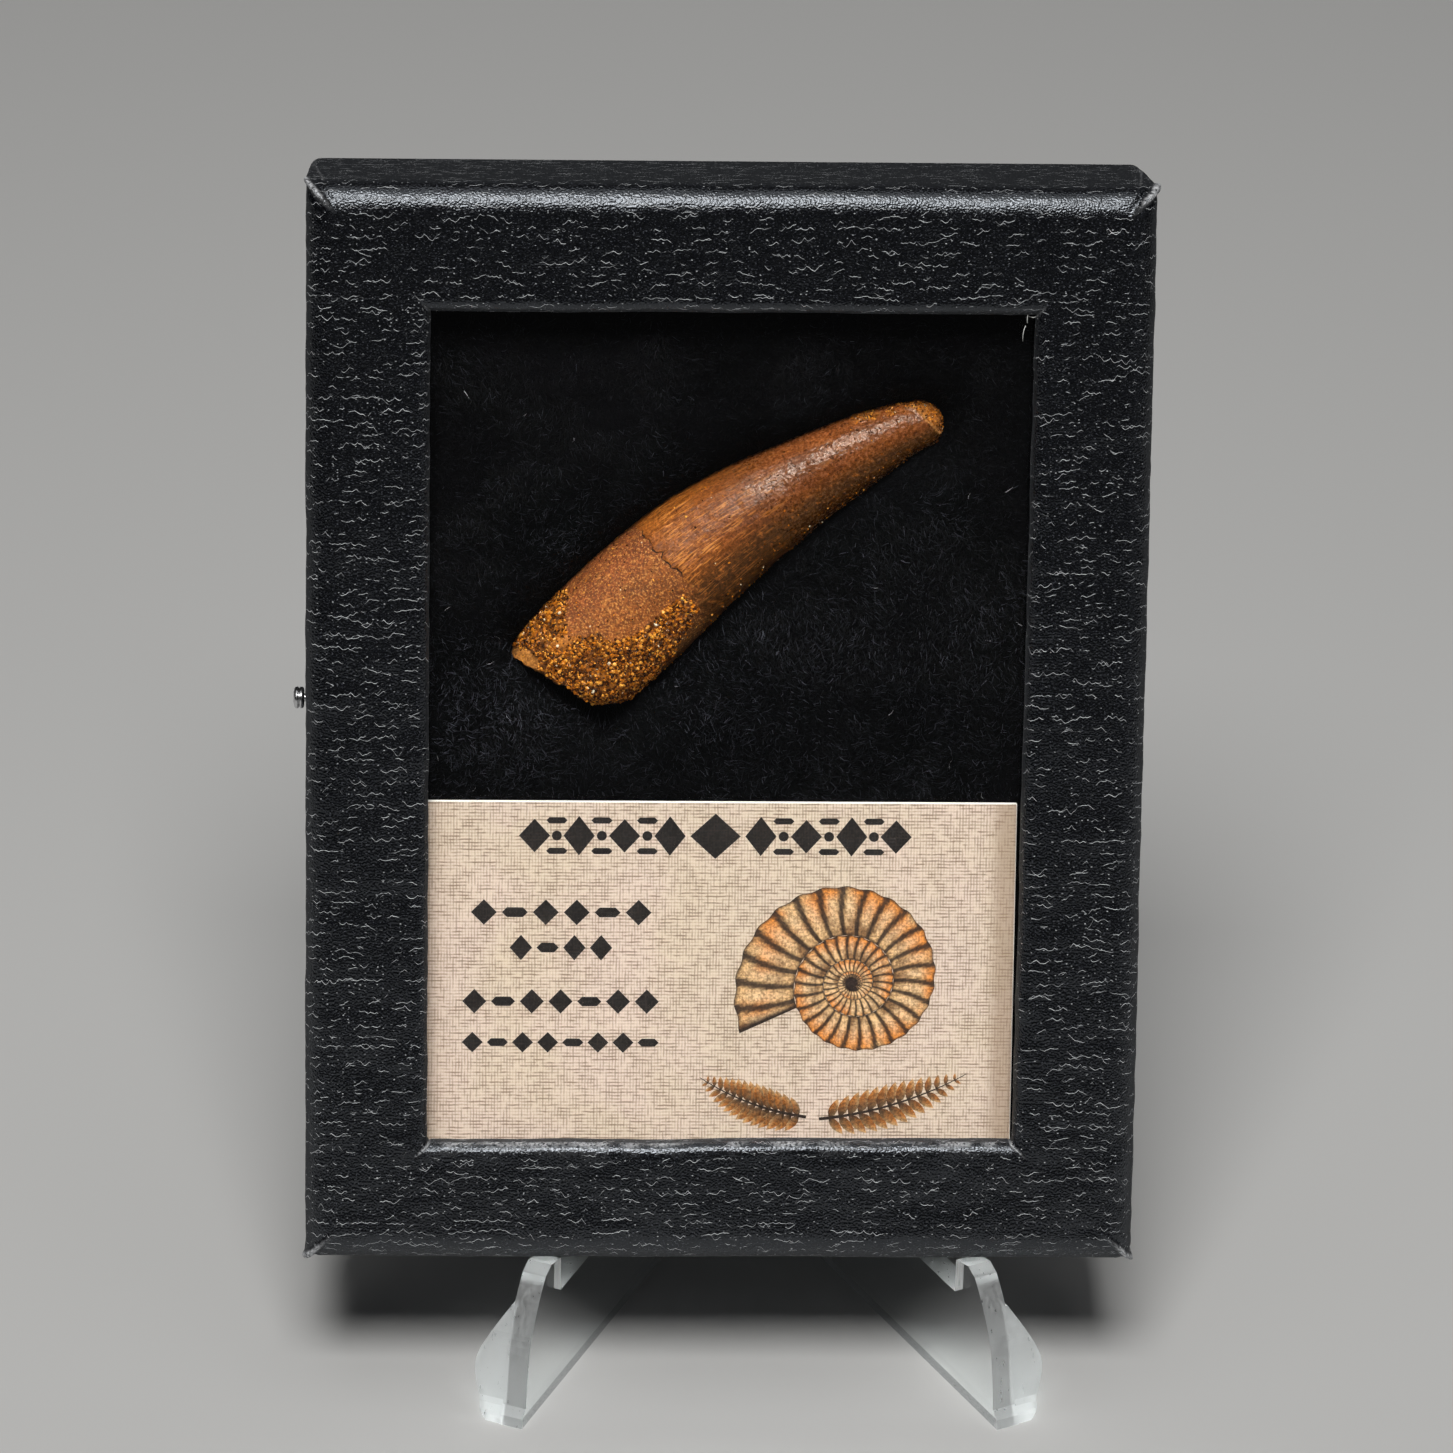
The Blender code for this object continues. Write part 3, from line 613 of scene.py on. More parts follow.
def unrolled_paper(skin):
    """Where each point of the lid's skin lay on the flat sheet before it was folded round the board."""
    kinds = [step[0] for step in lid_profile()]
    first, last = kinds.index("face") - 1, kinds.index("window") - 1
    paper = skin.copy()
    paper[..., 2] = 0.0
    steps = np.linalg.norm(np.diff(skin, axis=0), axis=2)
    for edge, rows, sign, centre, half_size in (
        (first, range(first - 1, -1, -1), 1, (0.0, 0.0), (HALF_WIDTH, HALF_HEIGHT)),
        (last, range(last + 1, len(skin)), -1, (WINDOW_X, WINDOW_Y), (HALF_WINDOW_WIDTH, HALF_WINDOW_HEIGHT)),
    ):
        flat = skin[edge, :, :2]
        beyond = np.abs(flat - centre) - half_size
        sideways = beyond[:, :1] > beyond[:, 1:]
        away = np.sign(flat - centre) * np.where(sideways, (1, 0), (0, 1)) * sign
        run = 0.0
        for row in rows:
            run = run + steps[row if sign > 0 else row - 1][:, None]
            paper[row, :, :2] = np.where(np.abs(away) > 0.5, flat + away * run, skin[row, :, :2])
    return paper


def outward(skin, centre):
    """Outward directions from the rings' own run."""
    around = np.roll(skin, -1, axis=1) - np.roll(skin, 1, axis=1)
    normal = np.cross(around, np.gradient(skin, axis=0))
    normal /= np.maximum(np.linalg.norm(normal, axis=2, keepdims=True), 1e-9)
    return normal if np.mean(np.sum((skin - centre) * normal, axis=2)) > 0 else -normal


def lid_relief(skin):
    """How far the paper stands off the board at each point, and how much paler it is there, from wear and
    painted highlight.
    """
    x, y, z = np.moveaxis(skin, -1, 0)
    lift = 0.07 * grain(skin, (7.0, 3.4, 7.0), 3) + 0.04 * grain(skin, (3.2, 1.3, 3.2), 5)
    lift += 0.03 * grain(skin, (1.6, 0.8, 1.6), 8)
    # the mitred ears at the outer corners
    corner_x = HALF_WIDTH - np.abs(x)
    corner_y = HALF_HEIGHT - np.abs(y)
    corner = np.maximum(corner_x, corner_y)
    mitre = np.abs(corner_x - corner_y) + 0.12 * grain(skin, 0.8, 11)
    near = smooth((3.0 - corner) / 1.6) * smooth((z + 4.6) / 3.2)
    fold = bell(mitre, 0.30) * near
    lift += 0.42 * fold - 0.14 * bell(mitre - 0.85, 0.4) * near
    # the tucked paper's edge shows as a thin line on the end walls, just round each corner
    past = corner_x - 1.9 - 0.10 * z
    end_wall = (corner_y < 0.6) * smooth((-z - 1.6) / 0.8)
    lift += 0.07 * smooth(past / -0.12) * end_wall
    # a turned-in fold of paper runs out of each window corner
    win_x = np.abs(x - WINDOW_X) - HALF_WINDOW_WIDTH
    win_y = np.abs(y - WINDOW_Y) - HALF_WINDOW_HEIGHT
    win_near = smooth((1.1 - np.maximum(win_x, win_y)) / 0.7) * smooth((np.minimum(win_x, win_y) + 0.5) / 0.4)
    slit = bell(win_x - win_y, 0.17) * win_near
    lift -= 0.18 * slit
    lift *= 1 - smooth((-z - 17.6) / 0.6)
    # paler paper: wear on the ears and at the window's corners, partly painted highlight; a painted highlight
    # along the window's bottom edge, which faces up to the light
    wear_and_highlight = np.clip(fold * 1.3, 0, 1) * (0.25 + 0.75 * smooth((2.0 - corner) / 0.9))
    wear_and_highlight = wear_and_highlight + 0.25 * bell(past, 0.10) * end_wall + slit * np.where(y < WINDOW_Y, 0.9, 0.25)
    bottom_edge = (win_y > -0.2) & (win_y < 1.2) & (win_x < 0) & (y < WINDOW_Y)
    patchy = smooth(0.5 + grain(skin, 1.5, 12))
    wear_and_highlight = wear_and_highlight + 0.75 * bell(z + 0.5 * WINDOW_EDGE_RADIUS, 0.35) * bottom_edge * patchy
    return lift, np.clip(wear_and_highlight, 0, 1)


def build_lid():
    """The covered lid, with slack and folds in its paper, crisp mitred ears and turned window edges."""
    skin = np.stack([profile_ring(*step) for step in lid_profile()])
    paper = unrolled_paper(skin)
    lift, wear_and_highlight = lid_relief(skin)
    skin = skin + outward(skin, (0.0, 0.0, -10.0)) * lift[..., None]
    # the window is cut slightly out of square, at its right side and the bottom's right half
    lean = -0.12 + 0.27 * (skin[..., 1] - WINDOW_Y) / HALF_WINDOW_HEIGHT
    skin[..., 0] += lean * bell(skin[..., 0] - WINDOW_X - HALF_WINDOW_WIDTH, 2.2)
    sag = 0.18 * smooth((skin[..., 0] + 6.0) / 10.0)
    skin[..., 1] += sag * bell(skin[..., 1] - WINDOW_Y + HALF_WINDOW_HEIGHT, 2.2)
    half_x, half_y = HALF_WIDTH - LID_WALL, HALF_HEIGHT - LID_WALL
    inner = [rectangle_ring(-half_x, half_x, -half_y, half_y, 0.8, -depth, LID_COUNTS, LID_CROWDING)
             for depth in (LID_FRONT, LID_BACK)]
    verts = np.concatenate([skin, inner])
    total, per_ring = verts.shape[:2]
    i = np.arange(per_ring)
    j = (i + 1) % per_ring
    last = (total - 1) * per_ring
    join = np.stack([last + i, last + j, j, i], axis=1)
    faces = np.concatenate([ring_faces(total, per_ring), join])
    lid = add_mesh("lid_cover", verts.reshape(-1, 3), faces, [leatherette("leatherette")], "leatherette")
    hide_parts("lid")
    lid.data.set_sharp_from_angle(angle=radians(50))
    # the unseen inside takes its creases from another level of the paper
    inside = np.concatenate(inner) * (1, 1, 0) + (0, 0, 40.0)
    place_points(lid, "paper", np.concatenate([paper.reshape(-1, 3), inside]))
    weigh_points(lid, "wear_and_highlight", np.concatenate([wear_and_highlight.ravel(), np.zeros(2 * per_ring)]))


# Tooth
def tooth_axis(rings):
    """Centres, directions, half widths and lengths so far along the tooth."""
    stations = np.array(TOOTH_STATIONS)
    last = len(stations) - 1
    position = np.linspace(0, last, rings + 1)
    start = np.minimum(position.astype(int), last - 1)
    picks = [stations[np.clip(start + k, 0, last)] for k in (-1, 0, 1, 2)]
    values = spline(*picks, (position - start)[:, None])
    centre = np.column_stack([values[:, :2], np.full(len(values), -TOOTH_AXIS_DEPTH)])
    direction = np.gradient(centre, axis=0)
    direction /= np.linalg.norm(direction, axis=1, keepdims=True)
    along = np.concatenate([[0.0], np.cumsum(np.linalg.norm(np.diff(centre, axis=0), axis=1))])
    return centre, direction, values[:, 2], along


# Round the tooth's section: 0 degrees is its outer edge in the picture's plane, 90 its front
CRUST_REACH = (
    (0, 6.6), (19, 7.0), (43, 5.9), (59, 5.0), (71, 5.3), (76, 6.7), (86, 6.9), (97, 7.9), (100, 9.5),
    (102, 12.5), (104, 15.0), (114, 15.7), (125, 15.4), (135, 13.8), (140, 11.9), (151, 9.8), (154, 8.3),
    (180, 7.0), (230, 6.0), (300, 5.5), (360, 6.6),
)
BREAK_SHIFT = (
    (0, -0.85), (30, -0.35), (60, 0.25), (90, 0.30), (120, 0.20), (150, 0.35), (180, 0.40), (210, 0.40),
    (300, 0.0), (330, -0.5), (360, -0.85),
)
CRACK_LINE = (
    (0, 16.1), (14, 16.2), (30, 16.3), (38, 16.2), (44, 16.5), (51, 16.15), (57, 16.2), (62, 16.65),
    (66, 16.3), (70, 16.35), (78, 16.45), (87, 16.85), (94, 16.5), (110, 16.3), (130, 15.8), (180, 15.2),
    (270, 15.5), (360, 16.1),
)
TIP_CUT_PLACE = (19.82, 29.70)
TIP_CUT_FACING = (0.69, 0.72)
TOOTH_RINGS = 320
TOOTH_SIDES = 256
OUT = np.array([0.0, 0.0, 1.0])


def round_section(angle, table):
    turns, values = np.array(table).T
    return np.interp(np.degrees(angle), turns, values)


def spot(along, angle, centre, size):
    """A soft round patch on the tooth: centre and size are (length in mm, degrees round the section)."""
    turn = (np.degrees(angle) - centre[1] + 180) % 360 - 180
    return np.exp(-(((along - centre[0]) / size[0]) ** 2) - (turn / size[1]) ** 2)


def fracture_lip(points, along, angle):
    """The smooth strip of broken root at the base's outer corner."""
    turn = (np.degrees(angle) + 180) % 360 - 180
    around = smooth((turn + 40) / 20) * smooth((60 - turn) / 12)
    return around * smooth((1.5 + 0.25 * grain(points, 1.1, 28) - along) / 0.25)


def tip_cover(points, along):
    """The sandy cap on the tip's upper side, cut off along a slanting line."""
    beyond = (points[..., 0] - TIP_CUT_PLACE[0]) * TIP_CUT_FACING[0]
    beyond = beyond + (points[..., 1] - TIP_CUT_PLACE[1]) * TIP_CUT_FACING[1]
    beyond = beyond + 0.10 * grain(points, 0.7, 23)
    return beyond * (along > 38) - 9 * (along <= 38)


def crust_cover(points, along, angle):
    """How much sandy crust covers the surface, from 0 to 1."""
    degrees = np.degrees(angle)
    reach = round_section(angle, CRUST_REACH)
    reach = reach + 0.55 * grain(points, 1.5, 21) + 0.45 * grain(points, 0.6, 22)
    climbing = smooth((degrees - 92) / 10) * smooth((160 - degrees) / 16)
    reach = reach + climbing * 0.9 * grain(points, 0.7, 25)
    base = smooth((reach - along) / 0.5 + 0.5)
    broken_up = smooth((along - 8.5) / 2.5) * smooth((grain(points, 0.7, 26) + 0.35) / 0.35)
    base = base * (1 - climbing * broken_up) * (1 - fracture_lip(points, along, angle))
    tip = smooth(tip_cover(points, along) / 0.12 + 0.5)
    edge = smooth((np.cos(angle) - 0.74 + 0.1 * grain(points, 0.8, 27)) / 0.08)
    edge = edge * smooth((along - 38.2) / 1.0) * smooth((grain(points, 0.7, 24) + 0.65) / 0.5)
    return np.maximum(np.maximum(base, tip), edge)


def crack_place(angle):
    """Where along the tooth the enamel starts, round its section."""
    jagged = 0.07 * np.sin(31.0 * angle) + 0.05 * np.sin(53.0 * angle + 1.0)
    return round_section(angle, CRACK_LINE) + jagged


def tooth_form():
    """The smooth tooth, ring by ring: its points, outward directions, length along it, angle round it."""
    centre, direction, width, along = tooth_axis(TOOTH_RINGS)
    angle = 2 * pi * np.arange(TOOTH_SIDES) / TOOTH_SIDES
    tilt = (radians(6.5) * (1 - smooth(along / 12.0)))[:, None]
    side = np.cross(OUT, direction) * np.cos(tilt) - direction * np.sin(tilt)
    # the base rounds in, more at its inner corner
    rounding = np.clip(1.6 * (1 - along / 3.0), 0, None)
    squeeze = rounding**2 / 3.2
    reach = width[:, None] - squeeze[:, None] * (0.5 + 2.1 * (0.5 - 0.5 * np.cos(angle)))
    offset = side[:, None, :] * (np.cos(angle) * reach)[..., None]
    offset = offset + OUT * (np.sin(angle) * reach * TOOTH_FLATNESS)[..., None]
    slant = round_section(angle, BREAK_SHIFT) * (1 - smooth(along / 9.0))[:, None]
    body = centre[:, None, :] + offset + direction[0] * slant[..., None]
    # the blunt tip
    end, ahead, radius = centre[-1], direction[-1], width[-1]
    turns = np.linspace(0, 0.5 * pi, 22)[1:-1, None]
    ring = radius * np.cos(turns)
    beyond = np.cross(OUT, ahead) * (np.cos(angle) * ring)[..., None]
    beyond = beyond + OUT * (np.sin(angle) * ring * TOOTH_FLATNESS)[..., None]
    beyond = beyond + ahead * (radius * np.sin(turns))[..., None]
    normal = np.concatenate([offset, beyond])
    lengths = np.concatenate([along, along[-1] + radius * np.sin(turns[:, 0])])
    return SimpleNamespace(
        skin=np.concatenate([body, end + beyond]),
        normal=normal / np.linalg.norm(normal, axis=2, keepdims=True),
        length=np.repeat(lengths[:, None], TOOTH_SIDES, axis=1),
        turn=np.repeat(angle[None, :], len(lengths), axis=0),
        base_way=direction[0],
        tip=end + ahead * (radius + 0.05),
    )


def cover_tooth(tooth):
    """Adds what covers the tooth at each point, from 0 to 1: crust, enamel, bare neck and the rest."""
    skin, length, turn = tooth.skin, tooth.length, tooth.turn
    degrees = np.degrees(turn)
    tooth.degrees = degrees
    tooth.crust = crust_cover(skin, length, turn)
    tooth.lip = fracture_lip(skin, length, turn)
    tooth.ochre = spot(length, turn, (4.3, 56), (1.0, 11)) * (0.7 + 0.5 * grain(skin, 1.0, 49))
    tooth.grey = spot(length, turn, (6.2, 20), (0.9, 9)) * smooth(0.4 + grain(skin, 0.7, 50))
    tooth.crack_gap = length - crack_place(turn)
    tooth.crack_span = smooth((degrees - 24) / 6) * smooth((92 - degrees) / 5)
    soft_start = smooth((degrees - 88) / 14)
    sharp_edge = smooth(tooth.crack_gap / 0.25 + 0.5)
    soft_edge = smooth((tooth.crack_gap + 0.9 * grain(skin, 0.9, 29)) / 2.0 + 0.4)
    tooth.enamel = sharp_edge * (1 - soft_start) + soft_edge * soft_start
    tooth.neck = (1 - tooth.enamel) * (1 - tooth.crust) * (1 - tooth.lip)
    # the underside, from the front round to the inner edge; painted shade darkens the tooth there
    tooth.under = smooth((degrees - 84) / 32) * (degrees < 270)
    # long ribs: each one runs along the tooth and wanders slowly
    tooth.around = np.stack([np.cos(turn) * 5.5 / 0.42, np.sin(turn) * 5.5 / 0.42, length / 7.0], axis=-1)
    tooth.ribs = grain(tooth.around, 1.0, 33) + 0.5 * grain(tooth.around * (2.1, 2.1, 1.6), 1.0, 34)
    tooth.rib_zone = smooth((length - 16.2) / 0.8) * (1 - smooth((length - 20.0) / 12.0))


def raise_relief(tooth):
    """Moves the smooth skin out and in: lumps of crust, ribs, pits and the open crack."""
    skin, length, enamel, bare = tooth.skin, tooth.length, tooth.enamel, 1 - tooth.crust
    upper_edge = smooth((np.cos(tooth.turn) - 0.70) / 0.2) * smooth((length - 38.2) / 1.0)
    height = tooth.crust * (0.20 * layered(skin, 1.5, 3, 31) + 0.04 + 0.16 * upper_edge)
    facets = 0.10 * grain(skin, 5.0, 32) + 0.03 * layered(skin, 0.9, 2, 36)
    height = height + bare * (facets + 0.05 * (enamel - 0.5))
    height = height + 0.040 * tooth.ribs * tooth.rib_zone * enamel * bare
    height = height - 0.06 * np.clip(grain(skin, 0.34, 35) - 0.35, 0, 1) * tooth.neck
    height = height + 0.035 * grain(skin, 0.36, 37) * (1 - 0.5 * enamel)
    jagged = 0.35 + 0.65 * smooth((grain(skin, 0.8, 38) + 0.25) / 0.4)
    height = height - 0.08 * bell(tooth.crack_gap, 0.16) * tooth.crack_span * jagged
    skin = skin + tooth.normal * height[..., None]
    broken = smooth((1.6 - length) / 1.6) * (0.25 + 0.22 * layered(skin, 1.2, 2, 39))
    tooth.skin = skin + tooth.base_way * broken[..., None]


def broken_face(edge, base_way):
    """Rough rings that close the broken root, from its middle out to its edge."""
    middle = edge.mean(axis=0)
    rings = []
    for share in np.linspace(0.06, 0.96, 24):
        ring = middle + (edge - middle) * share
        fade = smooth((1 - share) / 0.1) * smooth((share - 0.02) / 0.1)
        depth = 0.6 * (1 - share) ** 2 - 0.5 * layered(ring, 1.4, 3, 40) * fade
        rings.append(ring + base_way * depth[..., None])
    return np.array(rings), middle + base_way * 0.6


ENAMEL_DARK = (0.098, 0.0235, 0.0026)
ENAMEL_WARM = (0.175, 0.046, 0.0060)
ENAMEL_GOLD = (0.36, 0.120, 0.018)
ENAMEL_PALE = (0.150, 0.059, 0.027)
NEAR_CRACK = (0.225, 0.067, 0.010)
NECK = (0.240, 0.0745, 0.0145)
NECK_RED = (0.220, 0.0615, 0.0155)
NECK_GOLD = (0.46, 0.20, 0.045)
CRUST_DARK = (0.040, 0.012, 0.0020)
CRUST_GOLD = (0.290, 0.100, 0.009)
CRUST_GREY = (0.11, 0.065, 0.030)
CRUST_TIP = (0.36, 0.130, 0.022)
TIP_RIM = (0.55, 0.27, 0.09)
OCHRE = (0.42, 0.160, 0.024)
BROKEN_ROOT = np.array((0.44, 0.185, 0.042))
# painted shade colour for the tooth's underside
PAINTED_UNDERSIDE_SHADE = np.array((0.056, 0.0215, 0.0036))


def enamel_colour(tooth):
    skin, length = tooth.skin, tooth.length
    colour = lerp(ENAMEL_DARK, ENAMEL_WARM, smooth(0.5 + 0.5 * layered(skin, 3.5, 3, 41)))
    colour = lerp(colour, NEAR_CRACK, 0.9 * (1 - smooth((length - 17.5) / 8.0)))
    colour = lerp(colour, ENAMEL_PALE, 0.40 * smooth((length - 20.0) / 8.0))
    streak = smooth((tooth.ribs * 0.7 + 0.35 * grain(tooth.around * (1.0, 1.0, 3.0), 1.0, 42)) / 0.9)
    zone = tooth.rib_zone * (0.35 + 0.65 * smooth(0.5 + layered(skin, 6.0, 2, 43)))
    colour = lerp(colour, ENAMEL_GOLD, 0.28 * streak * zone)
    # the outer side is golden in the ribbed zone, and painted lighter towards the tip: a painted highlight
    # where the light falls on it
    outer_side = smooth((np.cos(tooth.turn) - 0.55) / 0.35)
    colour = lerp(colour, ENAMEL_GOLD, 0.30 * outer_side * tooth.rib_zone)
    colour = colour * (1 + 0.55 * outer_side * smooth((length - 26) / 6))[..., None]
    # painted shade: the enamel turning to the underside is painted dark
    colour = lerp(colour, PAINTED_UNDERSIDE_SHADE, 0.92 * tooth.under)
    flecks = smooth((grain(skin, 0.34, 44) - 0.45) / 0.2)
    return lerp(colour, ENAMEL_GOLD, 0.5 * flecks * (0.10 + 0.9 * tooth.under))


def neck_colour(tooth):
    skin, degrees = tooth.skin, tooth.degrees
    colour = lerp(NECK, NECK_RED, smooth((np.cos(tooth.turn) - 0.35) / 0.4))
    colour = lerp(colour, NECK_GOLD, 0.38 * smooth((grain(skin, 0.36, 45) - 0.35) / 0.3))
    colour = colour * (0.92 + 0.18 * layered(skin, 2.2, 2, 46))[..., None]
    # painted shade on the neck's underside
    return lerp(colour, PAINTED_UNDERSIDE_SHADE * 1.5, 0.8 * smooth((degrees - 118) / 24) * (degrees < 270))


def crust_colour(tooth):
    colour = lerp(CRUST_DARK, CRUST_GOLD, smooth(0.42 + 0.62 * layered(tooth.skin, 0.55, 2, 47)))
    colour = lerp(colour, OCHRE, np.clip(1.4 * tooth.ochre, 0, 1))
    colour = lerp(colour, CRUST_GREY, np.clip(tooth.grey, 0, 1))
    return lerp(colour, CRUST_TIP, 0.75 * smooth((tooth.length - 36.0) / 2.0))


def paint_tooth(piece, tooth, face):
    """Colours and shares for the material, point by point, with the broken face's before the skin's."""
    skin, length = tooth.skin, tooth.length
    colour = lerp(neck_colour(tooth), enamel_colour(tooth), tooth.enamel)
    colour = lerp(colour, crust_colour(tooth), tooth.crust)
    colour = lerp(colour, TIP_RIM, 0.8 * bell(tip_cover(skin, length) + 0.02, 0.09))
    root = lerp(BROKEN_ROOT, BROKEN_ROOT * 0.55, smooth(0.4 + 0.6 * layered(skin, 0.8, 2, 52)))
    colour = np.clip(lerp(colour, root, tooth.lip), 0.002, 1.0)
    face_dark = np.multiply(CRUST_DARK, 1.6)
    face_colour = lerp(BROKEN_ROOT * 0.9, face_dark, smooth(0.5 + 0.7 * layered(face, 1.1, 2, 48)))
    colours = [face_colour.reshape(-1, 3), colour.reshape(-1, 3), [OCHRE, OCHRE]]
    colour_points(piece, "tint", np.concatenate(colours))

    bare_enamel = tooth.enamel * (1 - tooth.crust)
    dull = 0.40 + 0.28 * tooth.neck + 0.30 * tooth.crust + 0.05 * tooth.rib_zone * tooth.enamel
    dull = dull + 0.25 * tooth.lip - 0.17 * smooth((length - 22.0) / 9.0) * (1 - tooth.crust)
    patchy = 0.18 + 0.82 * tooth.rib_zone * smooth(0.75 + layered(skin, 2.5, 2, 53))
    for name, values, on_face in (
        ("dullness", dull, 0.8),
        ("neck", tooth.neck, 0.0),
        ("ribbed", patchy * bare_enamel * (1 - 0.55 * tooth.under), 0.0),
        ("pitted", smooth((length - 24.0) / 4.0) * bare_enamel, 0.0),
        ("crack", tooth.crack_gap, 9.0),
        ("cracked", tooth.crack_span * (1 - tooth.crust), 0.0),
    ):
        before = np.full(face.shape[0] * TOOTH_SIDES, on_face)
        weigh_points(piece, name, np.concatenate([before, values.ravel(), [on_face, on_face]]))
    run = np.stack([np.cos(tooth.turn) * 5.0, np.sin(tooth.turn) * 5.0, length], axis=-1)
    place_points(piece, "run", np.concatenate([face.reshape(-1, 3), run.reshape(-1, 3), np.zeros((2, 3))]))


def build_tooth():
    """One closed skin: broken root, matte neck, ribbed enamel, abraded tip."""
    tooth = tooth_form()
    cover_tooth(tooth)
    raise_relief(tooth)
    face, base_middle = broken_face(tooth.skin[0], tooth.base_way)
    every = np.concatenate([face, tooth.skin])
    verts = np.concatenate([every.reshape(-1, 3), [base_middle], [tooth.tip]])
    i = np.arange(TOOTH_SIDES)
    j = (i + 1) % TOOTH_SIDES
    last = (len(every) - 1) * TOOTH_SIDES
    base_fan = np.stack([j, i, np.full(TOOTH_SIDES, len(verts) - 2)], axis=1)
    tip_fan = np.stack([last + i, last + j, np.full(TOOTH_SIDES, len(verts) - 1)], axis=1)
    faces = ring_faces(len(every), TOOTH_SIDES).tolist() + base_fan.tolist() + tip_fan.tolist()
    piece = add_mesh("tooth_skin", verts, faces, [tooth_material()], "tooth")
    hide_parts("tooth")
    paint_tooth(piece, tooth, face)
    return tooth


def icosahedron():
    g = (1 + 5**0.5) / 2
    verts = np.array([
        (-1, g, 0), (1, g, 0), (-1, -g, 0), (1, -g, 0), (0, -1, g), (0, 1, g),
        (0, -1, -g), (0, 1, -g), (g, 0, -1), (g, 0, 1), (-g, 0, -1), (-g, 0, 1),
    ], float)
    faces = np.array([
        (0, 11, 5), (0, 5, 1), (0, 1, 7), (0, 7, 10), (0, 10, 11), (1, 5, 9), (5, 11, 4),
        (11, 10, 2), (10, 7, 6), (7, 1, 8), (3, 9, 4), (3, 4, 2), (3, 2, 6), (3, 6, 8),
        (3, 8, 9), (4, 9, 5), (2, 4, 11), (6, 2, 10), (8, 6, 7), (9, 8, 1),
    ])
    return verts / np.linalg.norm(verts[0]), faces


def build_sand(name, places, normals, sizes, tints, material, random):
    """Angular sand grains stuck to the tooth."""
    ball, ball_faces = icosahedron()
    count = len(places)
    squash = random.uniform(0.65, 1.25, (count, 1, 3))
    jitter = random.uniform(-0.22, 0.22, (count, len(ball), 3))
    shapes = (ball + jitter) * squash * sizes[:, None, None]
    turns = np.array([Euler(angles).to_matrix() for angles in random.uniform(0, 2 * pi, (count, 3))])
    shapes = shapes @ turns.transpose(0, 2, 1)
    verts = shapes + (places + normals * sizes[:, None] * 0.1)[:, None, :]
    faces = ball_faces + (np.arange(count) * len(ball))[:, None, None]
    piece = add_mesh(name, verts.reshape(-1, 3), faces.reshape(-1, 3), [material], "tooth",
                     shade=False, fix_normals=False)
    colour_points(piece, "tint", np.repeat(tints, len(ball), axis=0))


SAND_COLOURS = np.array([
    (0.64, 0.230, 0.014), (0.43, 0.138, 0.008), (0.24, 0.068, 0.004), (0.065, 0.017, 0.002),
    (0.86, 0.390, 0.050), (0.30, 0.090, 0.006), (0.028, 0.007, 0.002), (0.085, 0.023, 0.003),
])
PALE_SAND = (0.85, 0.72, 0.50)


def scatter_sand(tooth):
    random = np.random.default_rng(7)
    skin, length, turn = tooth.skin, tooth.length, tooth.turn
    crust = tooth.crust * (1 - np.clip(1.2 * tooth.ochre, 0, 0.95))
    # even out the rings' uneven spacing, and leave the far side bare
    spacing = np.linalg.norm(np.roll(skin, -1, axis=1) - skin, axis=2)
    area = np.linalg.norm(np.gradient(skin, axis=0), axis=2) * spacing
    area_front = area * smooth((np.sin(turn) + 0.55) / 0.3)
    base = crust * (length < 20) * area_front * (0.35 + 0.65 * smooth(0.5 + layered(skin, 1.1, 2, 51)))
    climbing = smooth((tooth.degrees - 96) / 8) * smooth((146 - tooth.degrees) / 14)
    climbing = climbing * smooth((length - 8) / 2) * area
    climbing = climbing * smooth((round_section(turn, CRUST_REACH) + 0.4 - length) / 0.8)
    under = smooth((-np.cos(turn) - 0.55) / 0.3)
    strays = (0.004 + 0.05 * under) * (length > 14) + 0.02 * (length < 16) * (1 - crust)

    def tint(count, pale_share, lift):
        colours = SAND_COLOURS[random.integers(0, len(SAND_COLOURS), count)] * (0.95, 0.90, 0.95)
        colours = colours * random.uniform(0.75, 1.2, (count, 1)) * lift
        colours[random.random(count) < pale_share] = PALE_SAND
        return np.clip(colours, 0, 0.9)

    material = sand_material()
    # name, how likely at each point, count, smallest and largest radius, share of pale grains, brightness
    for name, weight, count, sizes, pale_share, lift in (
        ("crust_grains", base, 7800, None, 0.005, 1.0),
        ("climbing_grains", climbing, 420, (0.10, 0.20), 0.004, 1.15),
        ("tip_grains", crust * (length > 35) * area_front, 620, (0.05, 0.13), 0.01, 1.0),
        ("stray_grains", strays * area_front, 700, (0.04, 0.12), 0.04, 1.1),
    ):
        chosen = random.choice(weight.size, count, p=weight.ravel() / weight.sum())
        if sizes:
            radii = random.uniform(*sizes, count)
        else:
            radii = np.clip(random.gamma(2.0, 0.032, count) + 0.045, 0.05, 0.25)
        build_sand(name, skin.reshape(-1, 3)[chosen], tooth.normal.reshape(-1, 3)[chosen], radii,
                   tint(count, pale_share, lift), material, random)


